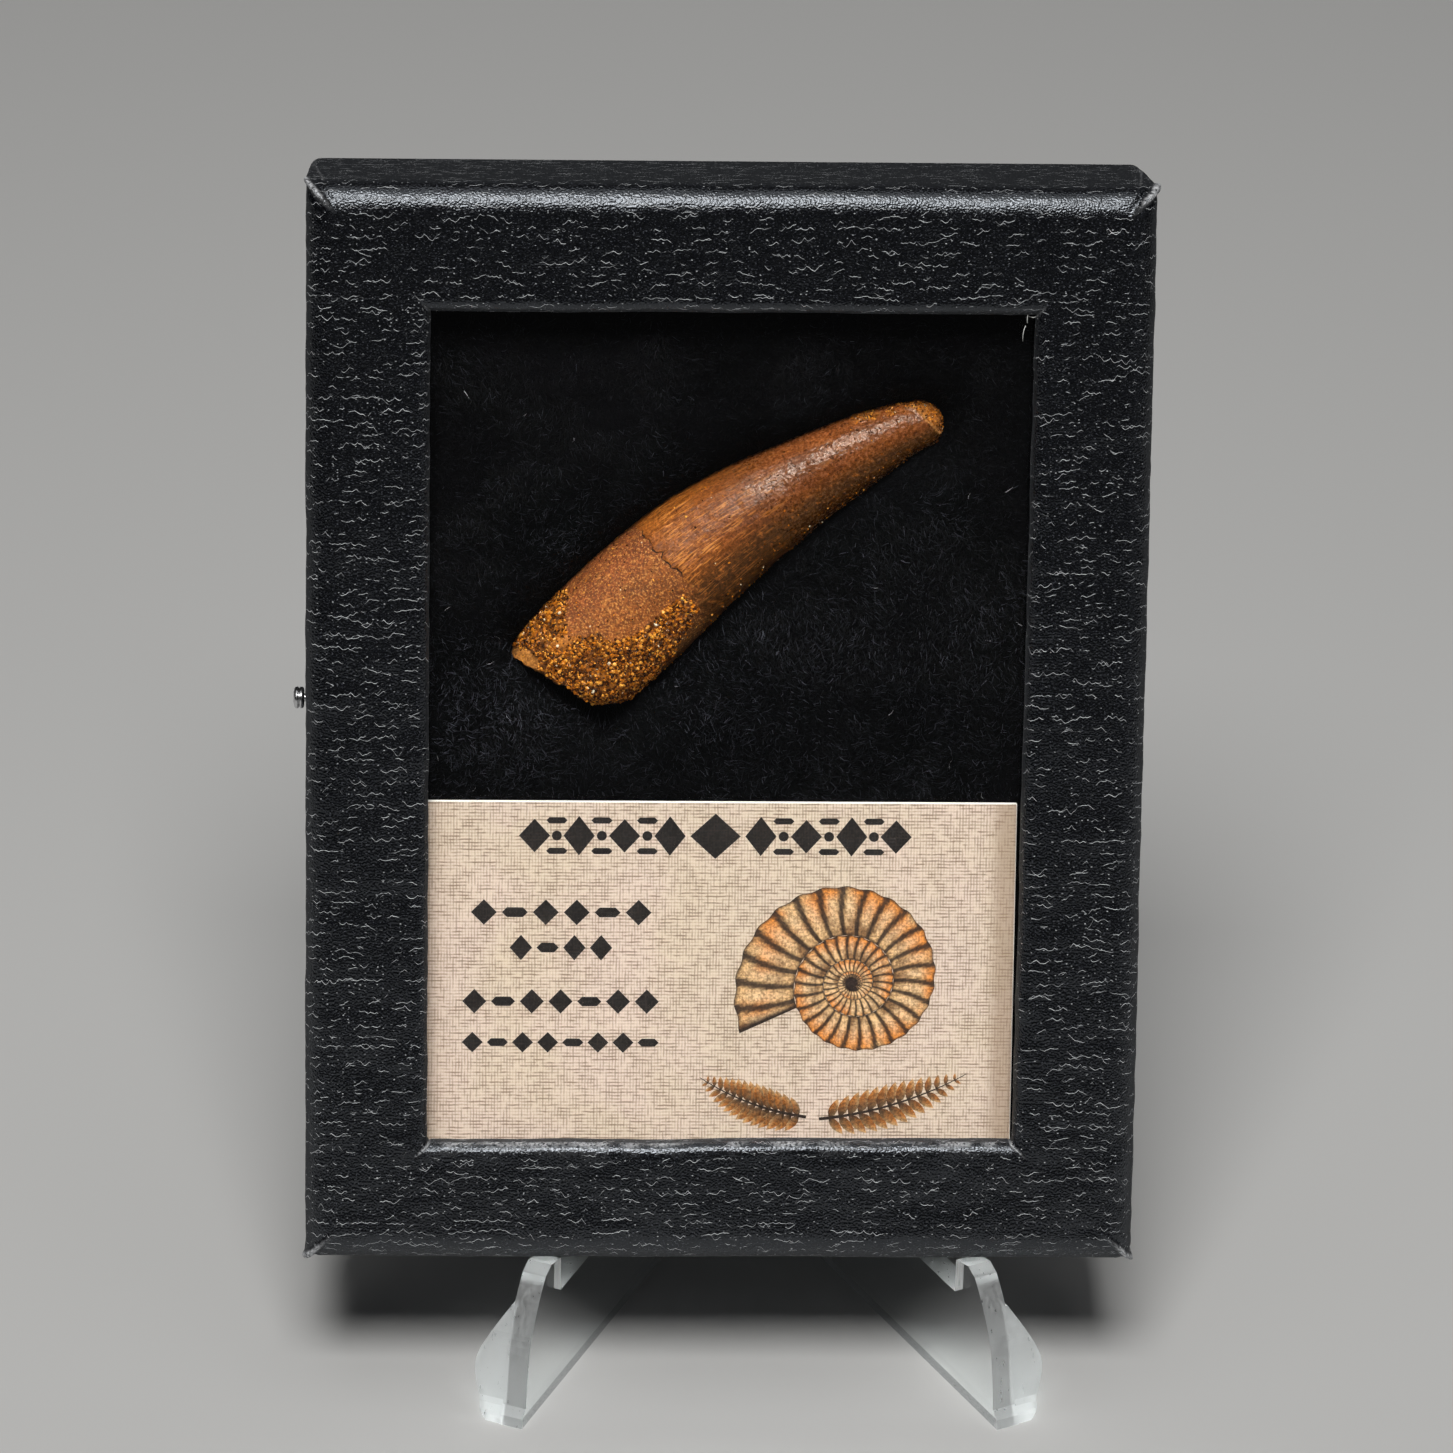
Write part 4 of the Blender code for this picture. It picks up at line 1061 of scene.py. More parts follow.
# Pad
def tooth_distance(x, y):
    """Distance outside the tooth's outline, and the tooth's half width beside each point."""
    centre, direction, width, _ = tooth_axis(60)
    bent_from, reach, far = 8, 1.2, 50
    best = np.full(x.shape, 1e9)
    beside = np.zeros(x.shape)
    for k, half in enumerate(width):
        dx = x - centre[k, 0]
        dy = y - centre[k, 1]
        run = dx * direction[k, 0] + dy * direction[k, 1]
        rise = np.abs(dy * direction[k, 0] - dx * direction[k, 1])
        if k == 0:
            gap = np.hypot(np.clip(-run, 0, None), np.clip(rise - half, 0, None))
            gap = np.where(run < 0, gap, rise - half + far * (run > reach))
        elif k < bent_from:
            gap = rise - half + far * (np.abs(run) > reach)
        else:
            gap = np.hypot(dx, dy) - half
        take = gap < best
        best = np.where(take, gap, best)
        beside = np.where(take, half, beside)
    return best, beside


def pad_depth(x, y):
    """How deep behind the case's front the pad's surface is."""
    gap, beside = tooth_distance(x, y)
    fall = TOOTH_AXIS_DEPTH - PAD_FRONT
    outside = PAD_FRONT + fall * np.exp(-np.clip(gap, 0, None) / 2.1)
    reach = beside + 0.5
    inside_share = np.clip(1 - (np.clip(beside + gap, 0, None) / reach) ** 2, 0, 1)
    bed = TOOTH_AXIS_DEPTH + reach * TOOTH_FLATNESS * np.sqrt(inside_share)
    return np.where(gap < 0, np.maximum(bed, outside), outside)


def build_pad():
    """The plush-covered wadding, pressed in round the tooth."""
    walls = LID_WALL + GAP + TRAY_WALL + GAP
    half_x, half_y = HALF_WIDTH - walls, HALF_HEIGHT - walls
    nx, ny = PAD_POINTS
    x, y = np.meshgrid(np.linspace(-half_x, half_x, nx), np.linspace(-half_y, half_y, ny))
    edge = np.minimum(half_x - np.abs(x), half_y - np.abs(y))
    roll = np.clip(1 - edge / PAD_ROLL, 0, 0.999)
    depth = pad_depth(x, y) + PAD_ROLL * (1 - np.sqrt(1 - roll**2))
    place = flat_place(x, y)
    depth = depth + 0.28 - (0.22 * layered(place, 6.0, 2, 61) + 0.10 * layered(place, 0.9, 2, 62))
    # kept behind the card and only just above the CAD's level elsewhere
    under_card = (y < PAD_FLAT_TOP) & (np.abs(x) < PAD_FLAT_HALF_WIDTH)
    depth = np.maximum(depth, np.where(under_card, PAD_FRONT + 0.05, PAD_FRONT - 0.1))
    top = np.stack([x, y, -depth], axis=-1).reshape(-1, 3)
    first = (nx * np.arange(ny - 1)[:, None] + np.arange(nx - 1)).ravel()
    faces = np.stack([first, first + 1, first + nx + 1, first + nx], axis=1)
    rim = np.concatenate([
        np.arange(nx), np.arange(1, ny) * nx + nx - 1, (ny - 1) * nx + np.arange(nx - 2, -1, -1),
        np.arange(ny - 2, 0, -1) * nx,
    ])
    skirt = top[rim]
    skirt[:, 2] = -(CASE_DEPTH - TRAY_WALL - GAP)
    under = len(top) + np.arange(len(rim))
    side = np.stack([rim, np.roll(rim, -1), np.roll(under, -1), under], axis=1)
    faces = faces.tolist() + side.tolist() + [under.tolist()]
    pad = add_mesh("plush_pad", np.concatenate([top, skirt]), faces, [plush_material()], "plush")
    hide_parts("velvet_pad")


# Where the pile's fibres are painted paler: x, y and spread. The wide spot at the lower left is painted
# light; the two small ones are greyish patches.
PALE_PILE_SPOTS = ((-15.6, 18.1, 3.4), (-1.3, 1.2, 2.8), (-24.0, 0.0, 6.0))
FIBRE_SETS = 2
FIBRES_IN_A_SET = 48000
FIBRE_FIELD_X = (-30.6, 30.6)
FIBRE_FIELD_Y = (-9.3, 42.6)
FIBRE_LENGTHS = (0.40, 1.00)
FIBRE_LIFTS = (0.15, 0.55)
FIBRE_HALF_BREADTH = 0.038
FIBRE_TUCK = 0.25
GLASS_CLEARANCE = 0.45
FIBRE_FACES = np.array([(0, 1, 3, 2), (2, 3, 5, 4)])


def fibre_shades(x, y, place, random):
    """Most fibres are near black and a few catch the light, more of them in the pale spots; painted shade
    darkens the pile towards the top.
    """
    patch = 0.82 + 0.30 * layered(place, (7.0, 4.0, 7.0), 2, 73)
    # painted shade: darker towards the top of the window
    patch = patch * (1 - 0.45 * smooth((y - 8.0) / 30.0))
    for spot_x, spot_y, spread in PALE_PILE_SPOTS:
        patch = patch + 1.1 * np.exp(-((x - spot_x) ** 2 + (y - spot_y) ** 2) / spread**2)
    shade = random.gamma(0.26, 0.0195, len(x)) * np.maximum(patch, 0.3) + 0.0001
    tint = np.clip(shade, 0.0001, 0.09)[:, None] * (0.90, 0.96, 1.18)
    tint[random.random(len(x)) < 0.0002] = (0.35, 0.35, 0.36)
    return tint


def build_fibres():
    """The plush's short bent fibres, where the window shows them."""
    random = np.random.default_rng(11)
    material = fibre_material()
    for index in range(FIBRE_SETS):
        x = random.uniform(*FIBRE_FIELD_X, FIBRES_IN_A_SET)
        y = random.uniform(*FIBRE_FIELD_Y, FIBRES_IN_A_SET)
        keep = tooth_distance(x, y)[0] > -FIBRE_TUCK
        x, y = x[keep], y[keep]
        count = len(x)
        place = flat_place(x, y)
        heading = 2.4 * grain(place, 9.0, 71) + 1.5 * grain(place, 2.5, 72) + random.normal(0, 0.65, count)
        length = random.uniform(*FIBRE_LENGTHS, count)
        bend = random.normal(0, 0.40, count)
        lift = random.uniform(*FIBRE_LIFTS, count)
        aside = np.stack([-np.sin(heading), np.cos(heading), np.zeros(count)], axis=1)

        def along(t):
            way = heading + bend * t
            return x + np.cos(way) * length * t, y + np.sin(way) * length * t

        root_z = -pad_depth(x, y) - GAP
        tip_z = -pad_depth(*along(1.0)) - GAP
        verts = []
        for t in (0.0, 0.5, 1.0):
            z = root_z + (tip_z - root_z) * t + lift * (1.6 * t - 0.9 * t * t)
            middle = np.stack([*along(t), np.minimum(z, -(GLASS_BACK + GLASS_CLEARANCE))], axis=1)
            half = aside * FIBRE_HALF_BREADTH * (1 - 0.7 * t)
            verts += [middle + half, middle - half]
        per_fibre = len(verts)
        faces = FIBRE_FACES + (np.arange(count) * per_fibre)[:, None, None]
        piece = add_mesh(f"plush_fibres_{index + 1}", np.stack(verts, axis=1).reshape(-1, 3),
                         faces.reshape(-1, 4), [material], "plush", fix_normals=False)
        tint = fibre_shades(x, y, place, random)
        colour_points(piece, "tint", np.repeat(tint, per_fibre, axis=0))


def build_frayed_threads():
    """A few paper fibres that stand out of the covering at one corner of the window."""
    threads = (
        ((29.85, 42.45), (29.20, 42.70), (28.75, 42.20), 0.055),
        ((29.95, 41.75), (29.55, 41.20), (29.90, 40.85), 0.075),
        ((29.00, 41.80), (28.65, 41.40), (28.80, 40.60), 0.075),
        ((29.85, 41.35), (29.35, 41.05), (28.90, 41.30), 0.060),
        ((28.65, 40.30), (28.30, 39.80), (28.40, 38.80), 0.050),
        ((29.95, 42.60), (29.20, 42.95), (28.70, 42.60), 0.040),
    )
    sides = 5
    t = np.linspace(0, 1, 9)[:, None]
    angle = 2 * pi * np.arange(sides)[:, None] / sides
    verts = []
    faces = []
    for index, (first, bend, last, radius) in enumerate(threads):
        flat = (1 - t) ** 2 * first + 2 * t * (1 - t) * bend + t * t * last
        points = np.column_stack([flat, -1.0 - 0.10 * index + 0.25 * np.sin(3.0 * t)])
        ahead = np.gradient(points, axis=0)
        ahead /= np.linalg.norm(ahead, axis=1, keepdims=True)
        side = np.cross(ahead, OUT)
        side /= np.linalg.norm(side, axis=1, keepdims=True)
        lift = np.cross(side, ahead)
        rings = [p + radius * (1 - 0.55 * share) * (np.cos(angle) * s + np.sin(angle) * up)
                 for p, s, up, share in zip(points, side, lift, t)]
        thread, thread_faces = closed_rings(rings)
        faces += [[len(verts) + i for i in face] for face in thread_faces]
        verts.extend(thread)
    material = plain("paper_thread", (0.74, 0.75, 0.73), 0.6, 0.2, 0.01)
    add_mesh("frayed_threads", verts, faces, [material], "leatherette")


# Card
def slab(left, right, bottom, top, steps, corner, counts):
    """A thin plate with rounded corners, from (inset, depth) steps through its thickness."""
    return closed_rings([
        rectangle_ring(left + inset, right - inset, bottom + inset, top - inset, corner, -depth, counts)
        for inset, depth in steps
    ])


def build_card():
    steps = ((0.0, CARD_FRONT + CARD_THICKNESS), (0.0, CARD_FRONT + CARD_BEVEL), (CARD_BEVEL, CARD_FRONT))
    verts, faces = slab(*CARD_SIDES, steps, 0.12, (12, 10, 4))
    edge = plain("card_edge", (0.82, 0.79, 0.74), 0.8, 0.1, 0.02)
    card = add_mesh("linen_card", verts, faces, [card_material(), edge], "card", shade=False)
    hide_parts("label_card")
    by_area = sorted(card.data.polygons, key=lambda polygon: polygon.area)
    for polygon in by_area[:-2]:
        polygon.material_index = 1


INK = (0.010, 0.009, 0.009)
TAN_INK = np.array([0.64, 0.40, 0.18])
ORANGE_INK = np.array([0.64, 0.215, 0.022])
BROWN_INK = np.array([0.020, 0.011, 0.008])
PALE_INK = (0.80, 0.62, 0.40)
PRINT_FRONT = -(CARD_FRONT - 0.012)
PRINT_BACK = PRINT_FRONT - 0.014
# Along a frond's leaf: how far out, and how wide
LEAF = ((0.0, 0.15), (0.25, 0.9), (0.5, 1.0), (0.78, 0.62), (1.0, 0.0))
SHELL_PLACE = (13.0, -26.2)


class Sheet:
    """Thin flat pieces of print, gathered into one mesh."""

    def __init__(self):
        self.verts = []
        self.faces = []
        self.tints = []

    def shape(self, outline, colours):
        """A flat closed piece from its outline, with a colour for each point."""
        count = len(outline)
        start = len(self.verts)
        for z in (PRINT_FRONT, PRINT_BACK):
            self.verts.extend([(x, y, z) for x, y in outline])
            self.tints.extend(colours)
        self.faces.append([start + i for i in range(count)])
        self.faces.append([start + count + i for i in reversed(range(count))])
        for i in range(count):
            j = (i + 1) % count
            self.faces.append([start + i, start + count + i, start + count + j, start + j])

    def lozenge(self, x, y, width, height):
        outline = [(x - width / 2, y), (x, y - height / 2), (x + width / 2, y), (x, y + height / 2)]
        self.shape(outline, [INK] * 4)

    def bar(self, x, y, width, height):
        half, lift = width / 2, height / 2
        flat = half - min(lift, half)
        self.shape([(x - half, y), (x - flat, y - lift), (x + flat, y - lift), (x + half, y),
                    (x + flat, y + lift), (x - flat, y + lift)], [INK] * 6)

    def disc(self, x, y, radius, colour):
        angles = 2 * pi * np.arange(16) / 16
        self.shape([(x + radius * cos(a), y + radius * sin(a)) for a in angles], [colour] * 16)


def print_heading(sheet):
    """A band of ornament, the same to both sides of its middle."""
    middle, level = -0.8, -11.3
    sheet.lozenge(middle, level, 5.0, 4.6)
    for side in (-1, 1):
        for index, x in enumerate((4.5, 9.0, 13.5, 17.9)):
            sheet.lozenge(middle + side * x, level, 3.1, 3.4 if index % 2 else 4.0)
        for x in (6.75, 11.25, 15.7):
            sheet.disc(middle + side * x, level, 0.50, INK)
            for lift in (-1.55, 1.55):
                sheet.bar(middle + side * x, level + lift, 2.1, 0.62)


def print_rows(sheet):
    """Four short rows at the left: their ends, their height on the card and their size."""
    for left, right, y, size in (
        (-25.2, -6.8, -19.1, 2.6), (-21.3, -10.7, -22.7, 2.6),
        (-26.0, -6.0, -28.2, 2.5), (-26.0, -6.0, -32.4, 2.1),
    ):
        count = int(round((right - left) / (size * 1.15)))
        pitch = (right - left) / count
        for k in range(count):
            x = left + pitch * (k + 0.5)
            if k % 3 == 1:
                sheet.bar(x, y, 0.84 * pitch, 0.38 * size)
            else:
                sheet.lozenge(x, y, 0.84 * pitch, size)


def print_frond(sheet, start, heading, curl, length, size):
    steps = 46
    stem = []
    x, y = start
    direction = radians(heading)
    for k in range(steps + 1):
        stem.append((x, y, direction))
        x += cos(direction) * length / steps
        y += sin(direction) * length / steps
        direction += radians(curl) / steps
    for k in range(steps):
        (x0, y0, direction), (x1, y1, _) = stem[k:k + 2]
        half = 0.16 * (1 - 0.8 * k / steps)
        dx, dy = -sin(direction) * half, cos(direction) * half
        outline = [(x0 - dx, y0 - dy), (x1 - dx, y1 - dy), (x1 + dx, y1 + dy), (x0 + dx, y0 + dy)]
        sheet.shape(outline, [BROWN_INK] * 4)
    for k in range(3, steps - 1, 3):
        share = k / steps
        reach = size * sin(pi * min(1.0, 0.16 + 0.84 * share)) ** 0.7 * (1 - 0.35 * share)
        x, y, direction = stem[k]
        for side in (-1, 1):
            lean = direction + side * radians(58)
            out = reach * np.array([cos(lean), sin(lean)])
            aside = 0.20 * reach * np.array([-sin(lean), cos(lean)])
            outline = [(x, y) + out * t - aside * w for t, w in LEAF]
            outline += [(x, y) + out * t + aside * w for t, w in reversed(LEAF[:-1])]
            colours = [lerp(BROWN_INK, TAN_INK, np.array(0.85 * t)) for t, _ in LEAF]
            colours += [BROWN_INK * 0.6 + ORANGE_INK * t * 0.8 for t, _ in reversed(LEAF[:-1])]
            sheet.shape(outline, colours)


def shell_colour(x, y, u, theta):
    """Ribbed tan and orange, dark between the ribs, in the seams and at the mouth."""
    rib = 0.5 + 0.5 * np.sin(26 * theta + 0.6 + 2.2 * u**2)
    body = np.sqrt(np.clip(1 - (2 * u - 1) ** 2, 0, 1))
    place = flat_place(x, y)
    blotch = smooth(0.5 + 0.9 * layered(place, 2.4, 3, 81)) * smooth((u - 0.15) / 0.6)
    colour = lerp(lerp(TAN_INK, ORANGE_INK, blotch), PALE_INK, 0.5 * body**3 * rib)
    deep = smooth(0.30 + 1.3 * layered(place, 1.3, 3, 82)) * smooth((0.62 - u) / 0.5)
    colour = lerp(colour, 0.5 * BROWN_INK + 0.16 * ORANGE_INK, 0.75 * deep)
    colour = lerp(colour, BROWN_INK, 0.94 * smooth((0.40 - rib) / 0.3))
    colour = lerp(colour, BROWN_INK, 0.95 * smooth((0.30 - body) / 0.3))
    return lerp(colour, BROWN_INK, smooth((theta - theta[-1] + 0.10) / 0.08))


def print_shell(sheet):
    """A coiled shell, as a strip of many short cells."""
    turns, growth, cells, across = 3.7, 2.02, 900, 14
    theta = (2 * pi * turns * np.linspace(0, 1, cells + 1))[:, None]
    u = np.linspace(0, 1, across + 1)[None, :]
    outer = 12.2 * growth ** ((theta - theta[-1]) / (2 * pi))
    inner = outer / growth * 1.005
    outer = outer * (1 + 0.010 * np.sin(26 * theta + 0.6))
    radius = inner + (outer - inner) * u
    angle = theta + radians(205) - theta[-1]
    x = SHELL_PLACE[0] + radius * np.cos(angle)
    y = SHELL_PLACE[1] + radius * np.sin(angle)
    colour = shell_colour(x, y, u, theta).reshape(-1, 3)
    start = len(sheet.verts)
    for z in (PRINT_FRONT, PRINT_BACK):
        sheet.verts.extend(np.column_stack([x.ravel(), y.ravel(), np.full(x.size, z)]).tolist())
        sheet.tints.extend(colour)
    count = across + 1
    first = (start + count * np.arange(cells)[:, None] + np.arange(across)).ravel()
    front = np.stack([first, first + count, first + count + 1, first + 1], axis=1)
    rim = start + np.concatenate([
        np.arange(cells + 1) * count, cells * count + np.arange(1, count),
        np.arange(cells - 1, -1, -1) * count + across, np.arange(across - 1, 0, -1),
    ])
    after = np.roll(rim, -1)
    edge = np.stack([rim, x.size + rim, x.size + after, after], axis=1)
    for faces in (front, front[:, ::-1] + x.size, edge):
        sheet.faces.extend(faces.tolist())
    sheet.disc(*SHELL_PLACE, 0.95, BROWN_INK)


def build_print():
    """The card's print: a band of ornament, rows of lozenges, and a coiled shell over two fronds."""
    sheet = Sheet()
    print_heading(sheet)
    print_rows(sheet)
    print_frond(sheet, (8.6, -40.0), 172, -26, 11.5, 3.0)
    print_frond(sheet, (9.9, -40.2), 6, 24, 15.5, 3.1)
    print_shell(sheet)
    piece = add_mesh("label_print", sheet.verts, sheet.faces, [print_material()], "card", shade=False)
    colour_points(piece, "tint", np.clip(np.array(sheet.tints), 0, 1))


# Pin and tray back
def build_pin():
    """A turned pin, as rings round its axis from (x, radius) pairs."""
    wall = -HALF_WIDTH
    out = wall - GAP
    head = out - 1.1
    profile = [(head, 0.10)]
    for t in np.linspace(0.12, 1.0, 9):
        profile.append((head + 0.30 * (1 - cos(0.5 * pi * t)), 1.08 * sin(0.5 * pi * t) ** 0.7))
    profile += [
        (out - 0.66, 1.10), (out - 0.58, 1.04), (out - 0.54, 0.96), (out - 0.50, 0.96), (out - 0.46, 1.03),
        (out - 0.36, 1.08), (out - 0.18, 1.07), (out - 0.06, 0.98), (out, 0.80), (out + 0.01, 0.42),
        (wall + 7.4, 0.40), (wall + 8.6, 0.18), (wall + 9.0, 0.05),
    ]
    angle = 2 * pi * np.arange(48) / 48
    rings = [
        (0, PIN_HEIGHT, -PIN_DEPTH) + np.stack([np.full(48, x), r * np.cos(angle), r * np.sin(angle)], axis=1)
        for x, r in profile
    ]
    pin = add_mesh("pin", *closed_rings(rings), [steel_material()], "steel")
    pin.data.set_sharp_from_angle(angle=radians(40))
    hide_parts("lid_pin")


def build_backing():
    """The plain sheet pasted on the tray's back, inside the turned-in covering."""
    half_x, half_y = HALF_WIDTH - 7.5, HALF_HEIGHT - 7.5
    steps = ((0.0, CASE_DEPTH - 0.05), (0.0, CASE_DEPTH + 0.08), (0.08, CASE_DEPTH + 0.12))
    verts, faces = slab(-half_x, half_x, -half_y, half_y, steps, 0.5, (60, 80, 4))
    add_mesh("tray_backing", verts, faces, [backing_material()], "covered_board", shade=False)


# Easel
EASEL_THICKNESS = 2.5
EASEL_SPLAY = {-1: radians(24.2), 1: radians(26.2)}
EASEL_TOE_SPREAD = 23.8
EASEL_MIDDLE = 4.9
EASEL_REAR = 68.0
EASEL_HEIGHT = 66.0
EASEL_TOP_WIDTH = 6.0
EASEL_HEEL_RISE = 7.0
SLOT_LEVEL = 20.0
SLOT_PLAY = 0.15
SLOT_REACH = 10
CASE_CORNER_LIFT = 16.1
CASE_CORNER_SETBACK = 5.7
# From here on, a plate's outline is (distance back from its toe, height)
TOE_FOOT = ((0.0, 0.0), (0.2, 1.0))
TOE_CURVE = ((1.0, 1.8), (1.25, 4.5), (1.9, 8.2), (2.8, 10.4), (4.3, 13.0), (5.6, 14.7))
LIP_FRONT = 7.0
LIP_BACK = 9.4
# The toe's side ledge: height, and how far it stands out
FIN_REACH = ((0.0, 1.5), (1.1, 2.3), (3.4, 3.0), (5.2, 3.3), (6.9, 3.0), (9.3, 1.8), (11.8, 0.3))
FIN_DEPTH = 1.4
TOE_Y = -31.5245


def curve_through(points, steps):
    """Extra points on a smooth curve through the given ones."""
    values = np.array(points, float)
    last = len(values) - 1
    made = []
    for start in range(last):
        picks = [values[min(max(start + k, 0), last)] for k in (-1, 0, 1, 2)]
        made += [tuple(spline(*picks, step / steps)) for step in range(steps)]
    return made + [tuple(values[-1])]


def case_gap():
    """The gap to the leaning case, measured level or upright."""
    return GAP / cos(CASE_LEAN)


def front_edge(height, splay):
    """How far back from its toe a plate's upright edge meets the case's back at some height."""
    up = (height - CASE_PLACE.z + CASE_DEPTH * sin(CASE_LEAN)) / cos(CASE_LEAN)
    back_y = CASE_PLACE.y + up * sin(CASE_LEAN) + CASE_DEPTH * cos(CASE_LEAN)
    return (back_y + case_gap() - TOE_Y) / cos(splay)


def lip_height(setback, splay):
    """The lip's height, just under the case's bottom."""
    run = setback * cos(splay) + EASEL_THICKNESS * sin(splay) - CASE_CORNER_SETBACK
    return CASE_CORNER_LIFT - run * tan(CASE_LEAN) - case_gap()


def crossing(side):
    """How far back from one plate's toe it crosses the other plate."""
    near, far = EASEL_SPLAY[side], EASEL_SPLAY[-side]
    half = 0.5 * EASEL_THICKNESS
    width = 2 * EASEL_TOE_SPREAD + half * (cos(near) + cos(far))
    setback = half * (sin(far) - sin(near))
    return (width * cos(far) + setback * sin(far)) / sin(near + far)


def plate_frame(side):
    turn = radians(90) + side * EASEL_SPLAY[side]
    toe = Matrix.Translation((EASEL_MIDDLE + side * EASEL_TOE_SPREAD, TOE_Y, 0))
    return toe @ Matrix.Rotation(turn, 4, "Z")


def plate_outline(toe, splay):
    floor = CASE_CORNER_LIFT - LID_BACK * sin(CASE_LEAN) - GAP
    top_front = front_edge(EASEL_HEIGHT, splay)
    top_back = top_front + EASEL_TOP_WIDTH
    return toe + [
        (LIP_FRONT, lip_height(LIP_FRONT, splay)),
        (LIP_BACK, lip_height(LIP_BACK, splay)),
        (LIP_BACK, floor),
        (front_edge(floor, splay), floor),
        (front_edge(EASEL_HEIGHT - 1.5, splay), EASEL_HEIGHT - 1.5),
        (top_front + 0.55, EASEL_HEIGHT - 0.4),
        (top_front + 1.5, EASEL_HEIGHT),
        (top_back - 1.5, EASEL_HEIGHT),
        (top_back - 0.4, EASEL_HEIGHT - 0.5),
        (top_back, EASEL_HEIGHT - 1.5),
        (EASEL_REAR, EASEL_HEEL_RISE),
        (EASEL_REAR, 0.0),
    ]


def fin_rings(toe, outward):
    """The ledge that stands out from the toe's curved edge."""
    root = outward * (EASEL_THICKNESS - 0.6)
    setbacks, heights = np.array(toe).T
    rings = []
    for height, reach in curve_through(FIN_REACH, 4):
        front = float(np.interp(height, heights, setbacks)) + 0.12
        back = front + FIN_DEPTH
        rim = outward * (EASEL_THICKNESS + max(reach, 0.25))
        rings.append([(front, root, height), (front, rim, height), (back, rim, height), (back, root, height)])
    return rings


def slot_rings(side):
    """The slot for the other plate: open at the bottom of the right plate and the top of the left."""
    other = -side
    middle = crossing(other)
    inner, outer = other * GAP, -other * (EASEL_THICKNESS + GAP)
    front, back = middle - SLOT_REACH, middle + SLOT_REACH
    corners = ((front, inner), (back, inner), (back, outer), (front, outer))
    levels = (SLOT_LEVEL - SLOT_PLAY, EASEL_HEIGHT) if side < 0 else (-10.0, SLOT_LEVEL + SLOT_PLAY)
    return [[(x, y, z) for x, y in corners] for z in levels]


def solid(name, rings, matrix):
    """A closed object from rings of points, placed in the object's frame."""
    mesh = bpy.data.meshes.new(name)
    shape = bmesh.new()
    loops = [[shape.verts.new(p) for p in ring] for ring in rings]
    for near, far in zip(loops, loops[1:]):
        for i in range(len(near)):
            j = (i + 1) % len(near)
            shape.faces.new((near[i], near[j], far[j], far[i]))
    shape.faces.new(loops[0])
    shape.faces.new(loops[-1])
    bmesh.ops.recalc_face_normals(shape, faces=shape.faces)
    shape.to_mesh(mesh)
    shape.free()
    mesh.transform(TO_METRES @ matrix)
    item = bpy.data.objects.new(name, mesh)
    bpy.context.scene.collection.objects.link(item)
    return item


def shape_plate(plate, fin, slot):
    """Joins the fin, cuts the slot and softens the edges, as one plain mesh."""
    for tool, operation in ((fin, "UNION"), (slot, "DIFFERENCE")):
        step = plate.modifiers.new(tool.name, "BOOLEAN")
        step.operation = operation
        step.solver = "EXACT"
        step.object = tool
    soften = plate.modifiers.new("soften", "BEVEL")
    soften.width = 0.14 * MM
    soften.segments = 2
    soften.limit_method = "ANGLE"
    soften.angle_limit = radians(35)
    made = bpy.data.meshes.new_from_object(plate.evaluated_get(bpy.context.evaluated_depsgraph_get()))
    made.name = plate.name
    plate.modifiers.clear()
    plate.data = made
    for tool in (fin, slot):
        bpy.data.objects.remove(tool, do_unlink=True)


def build_easel():
    """Two clear plates with frosted edges that slot into each other."""
    clear = clear_material("clear_plastic", 1.49, 0.015, (0.955, 0.972, 0.972)).finish()
    edge = cut_edge_material()
    toe = list(TOE_FOOT) + curve_through(TOE_CURVE, 4)
    for name, side in (("easel_left", -1), ("easel_right", 1)):
        outward = -side
        place = plate_frame(side)
        outline = plate_outline(toe, EASEL_SPLAY[side])
        rings = [[(s, y, z) for s, z in outline] for y in (0.0, outward * EASEL_THICKNESS)]
        plate = solid(name + "_clear", rings, place)
        fin = solid(name + "_fin", fin_rings(toe, outward), place)
        shape_plate(plate, fin, solid(name + "_slot", slot_rings(side), plate_frame(-side)))
        plate.data.materials.clear()
        for material in (clear, edge):
            plate.data.materials.append(material)
        across = (place.to_3x3() @ Vector((0, 1, 0))).normalized()
        for polygon in plate.data.polygons:
            polygon.material_index = 0 if abs(polygon.normal.dot(across)) > 0.9 else 1
            polygon.use_smooth = False
        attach(plate, "root")
        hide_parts(name)


# Stage
def softbox(name, azimuth, elevation, distance, width, height, power, colour=(1, 1, 1), spread=180):
    """A lamp that faces the object's middle, its angles in degrees and its sizes in metres."""
    lamp = bpy.data.lights.new(name, "AREA")
    lamp.shape = "RECTANGLE"
    lamp.size = width
    lamp.size_y = height
    lamp.energy = power
    lamp.color = colour
    lamp.spread = radians(spread)
    item = bpy.data.objects.new(name, lamp)
    a, e = radians(azimuth), radians(elevation)
    away = Vector((sin(a) * cos(e), -cos(a) * cos(e), sin(e)))
    item.location = Vector((0, 0, 0.06)) + away * distance
    item.rotation_euler = away.to_track_quat("Z", "Y").to_euler()
    bpy.context.scene.collection.objects.link(item)


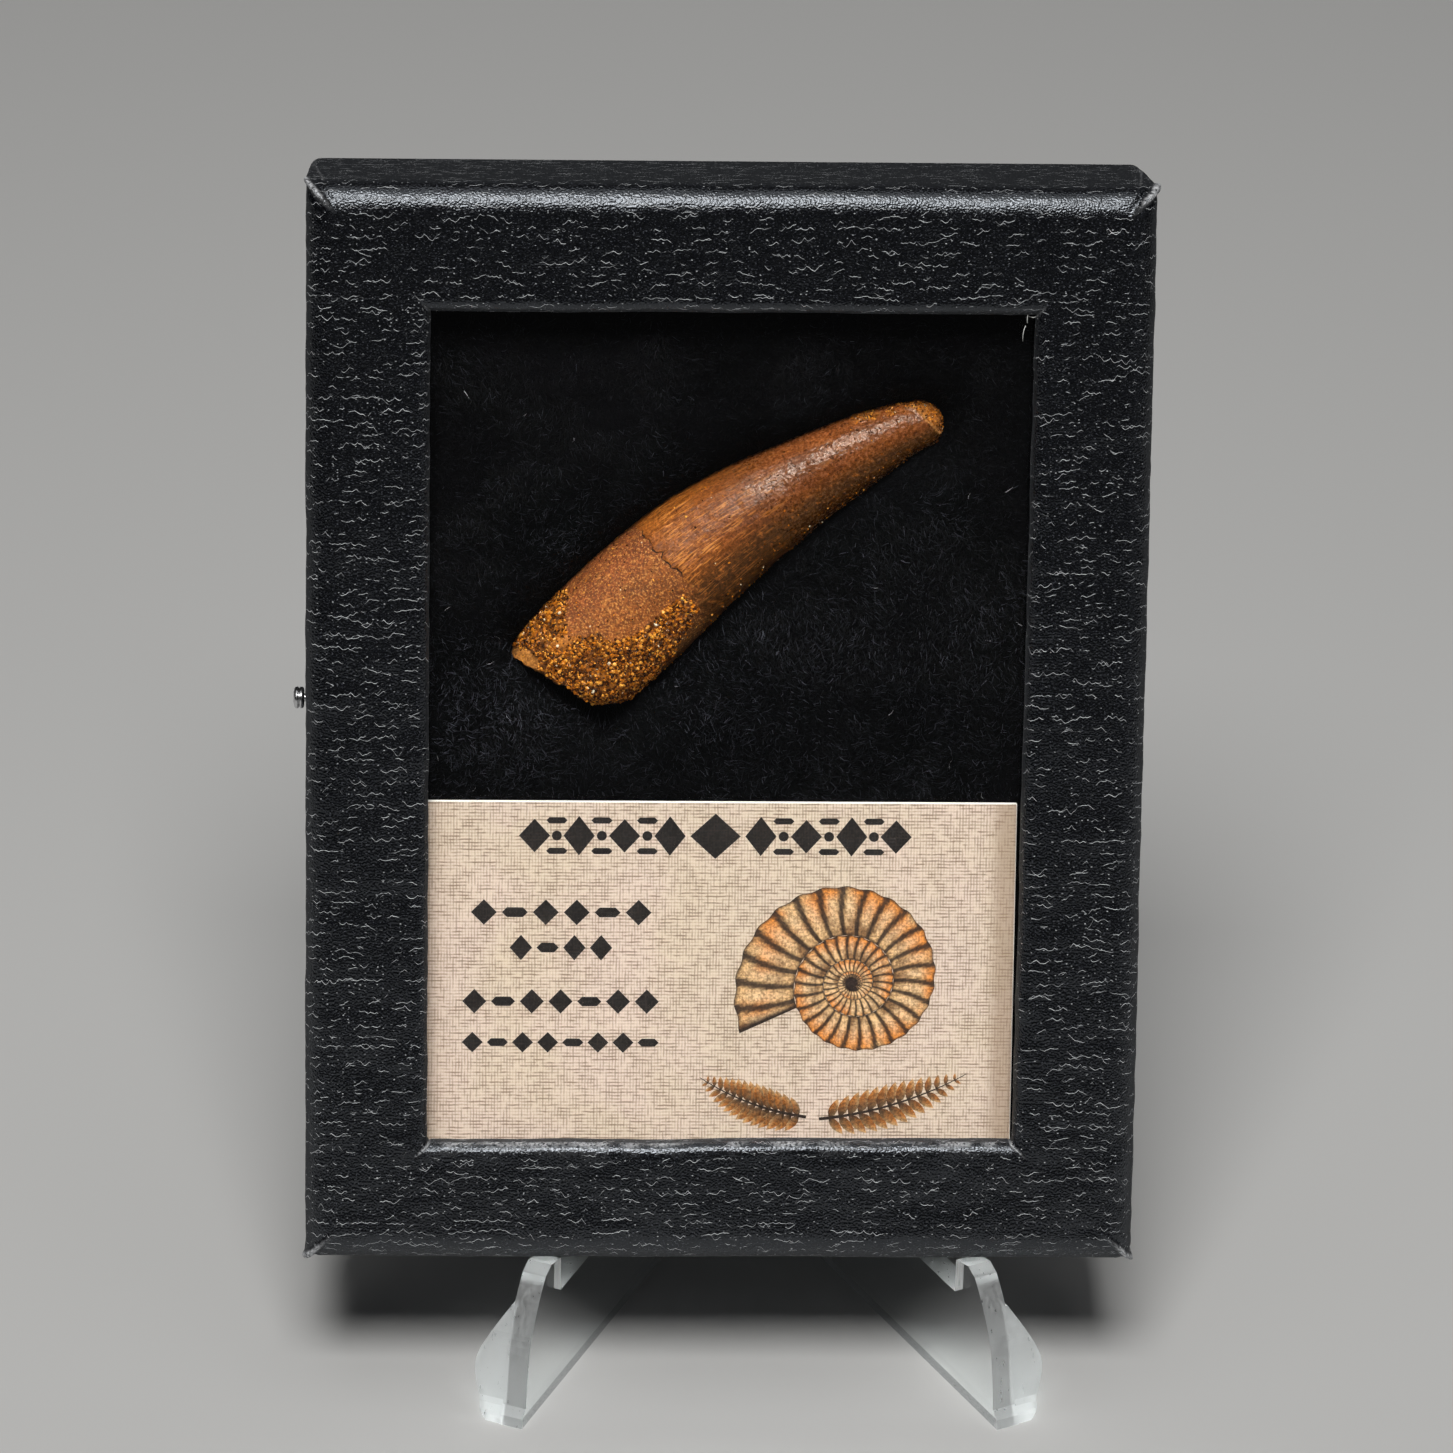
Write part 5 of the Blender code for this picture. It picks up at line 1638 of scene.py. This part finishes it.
def build_stage():
    floor_mesh = bpy.data.meshes.new("floor")
    half = 3.0
    corners = [(-half, -half, 0), (half, -half, 0), (half, half, 0), (-half, half, 0)]
    floor_mesh.from_pydata(corners, [], [(0, 1, 2, 3)])
    floor = bpy.data.objects.new("floor", floor_mesh)
    floor.location.z = -0.05 * MM
    look = Look("floor", Roughness=0.9, Base_Color=(0.62, 0.62, 0.615), Specular_IOR_Level=0.1)
    floor_mesh.materials.append(look.material)
    bpy.context.scene.collection.objects.link(floor)
    softbox("key", -6, 55.5, 1.5, 0.66, 0.56, 2.30, (1.0, 0.99, 0.97), 60)
    softbox("fill", 48, 20, 2.0, 0.8, 0.8, 0.5, (0.97, 0.98, 1.0))
    softbox("above", 0, 86, 1.6, 1.4, 0.8, 3.0)
    world = bpy.data.worlds.new("studio")
    world.use_nodes = True
    background = world.node_tree.nodes["Background"].inputs
    background["Color"].default_value = (0.86, 0.88, 0.90, 1)
    background["Strength"].default_value = 0.02
    bpy.context.scene.world = world


def build_camera():
    """The photograph's view, found from the case's corners and edges."""
    photo_pixels = 1453
    focal_pixels = 7000
    distance = 686.7
    rise = 0.6
    turn = Matrix.Identity(3)
    for degrees, axis in ((-0.76, "Z"), (11.96, "X"), (2.22, "Y")):
        turn = turn @ Matrix.Rotation(radians(degrees), 3, axis)
    back = turn.transposed()
    place = back @ Vector((0.0, rise, distance))
    camera = bpy.data.objects.new("camera", bpy.data.cameras.new("camera"))
    camera.data.sensor_width = 36.0
    camera.data.lens = focal_pixels / photo_pixels * 36.0
    camera.data.clip_start = 0.05
    camera.data.clip_end = 20
    camera.matrix_world = CASE @ Matrix.Translation(place * MM) @ back.to_4x4()
    bpy.context.scene.collection.objects.link(camera)
    bpy.context.scene.camera = camera
    bpy.context.scene.view_settings.view_transform = "Standard"


def dress_nodes():
    """Materials for the two CAD solids that keep their own shapes."""
    glass = clear_material("window_glass", 1.5, 0.0).finish()
    for node, material in (("glass_pane", glass), ("tray", leatherette("tray_paper", False, 0.5))):
        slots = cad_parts[node].data.materials
        slots.clear()
        slots.append(material)


build_camera()
build_stage()
build_lid()
scatter_sand(build_tooth())
build_pad()
build_fibres()
build_card()
build_print()
build_pin()
build_backing()
build_frayed_threads()
build_easel()
dress_nodes()
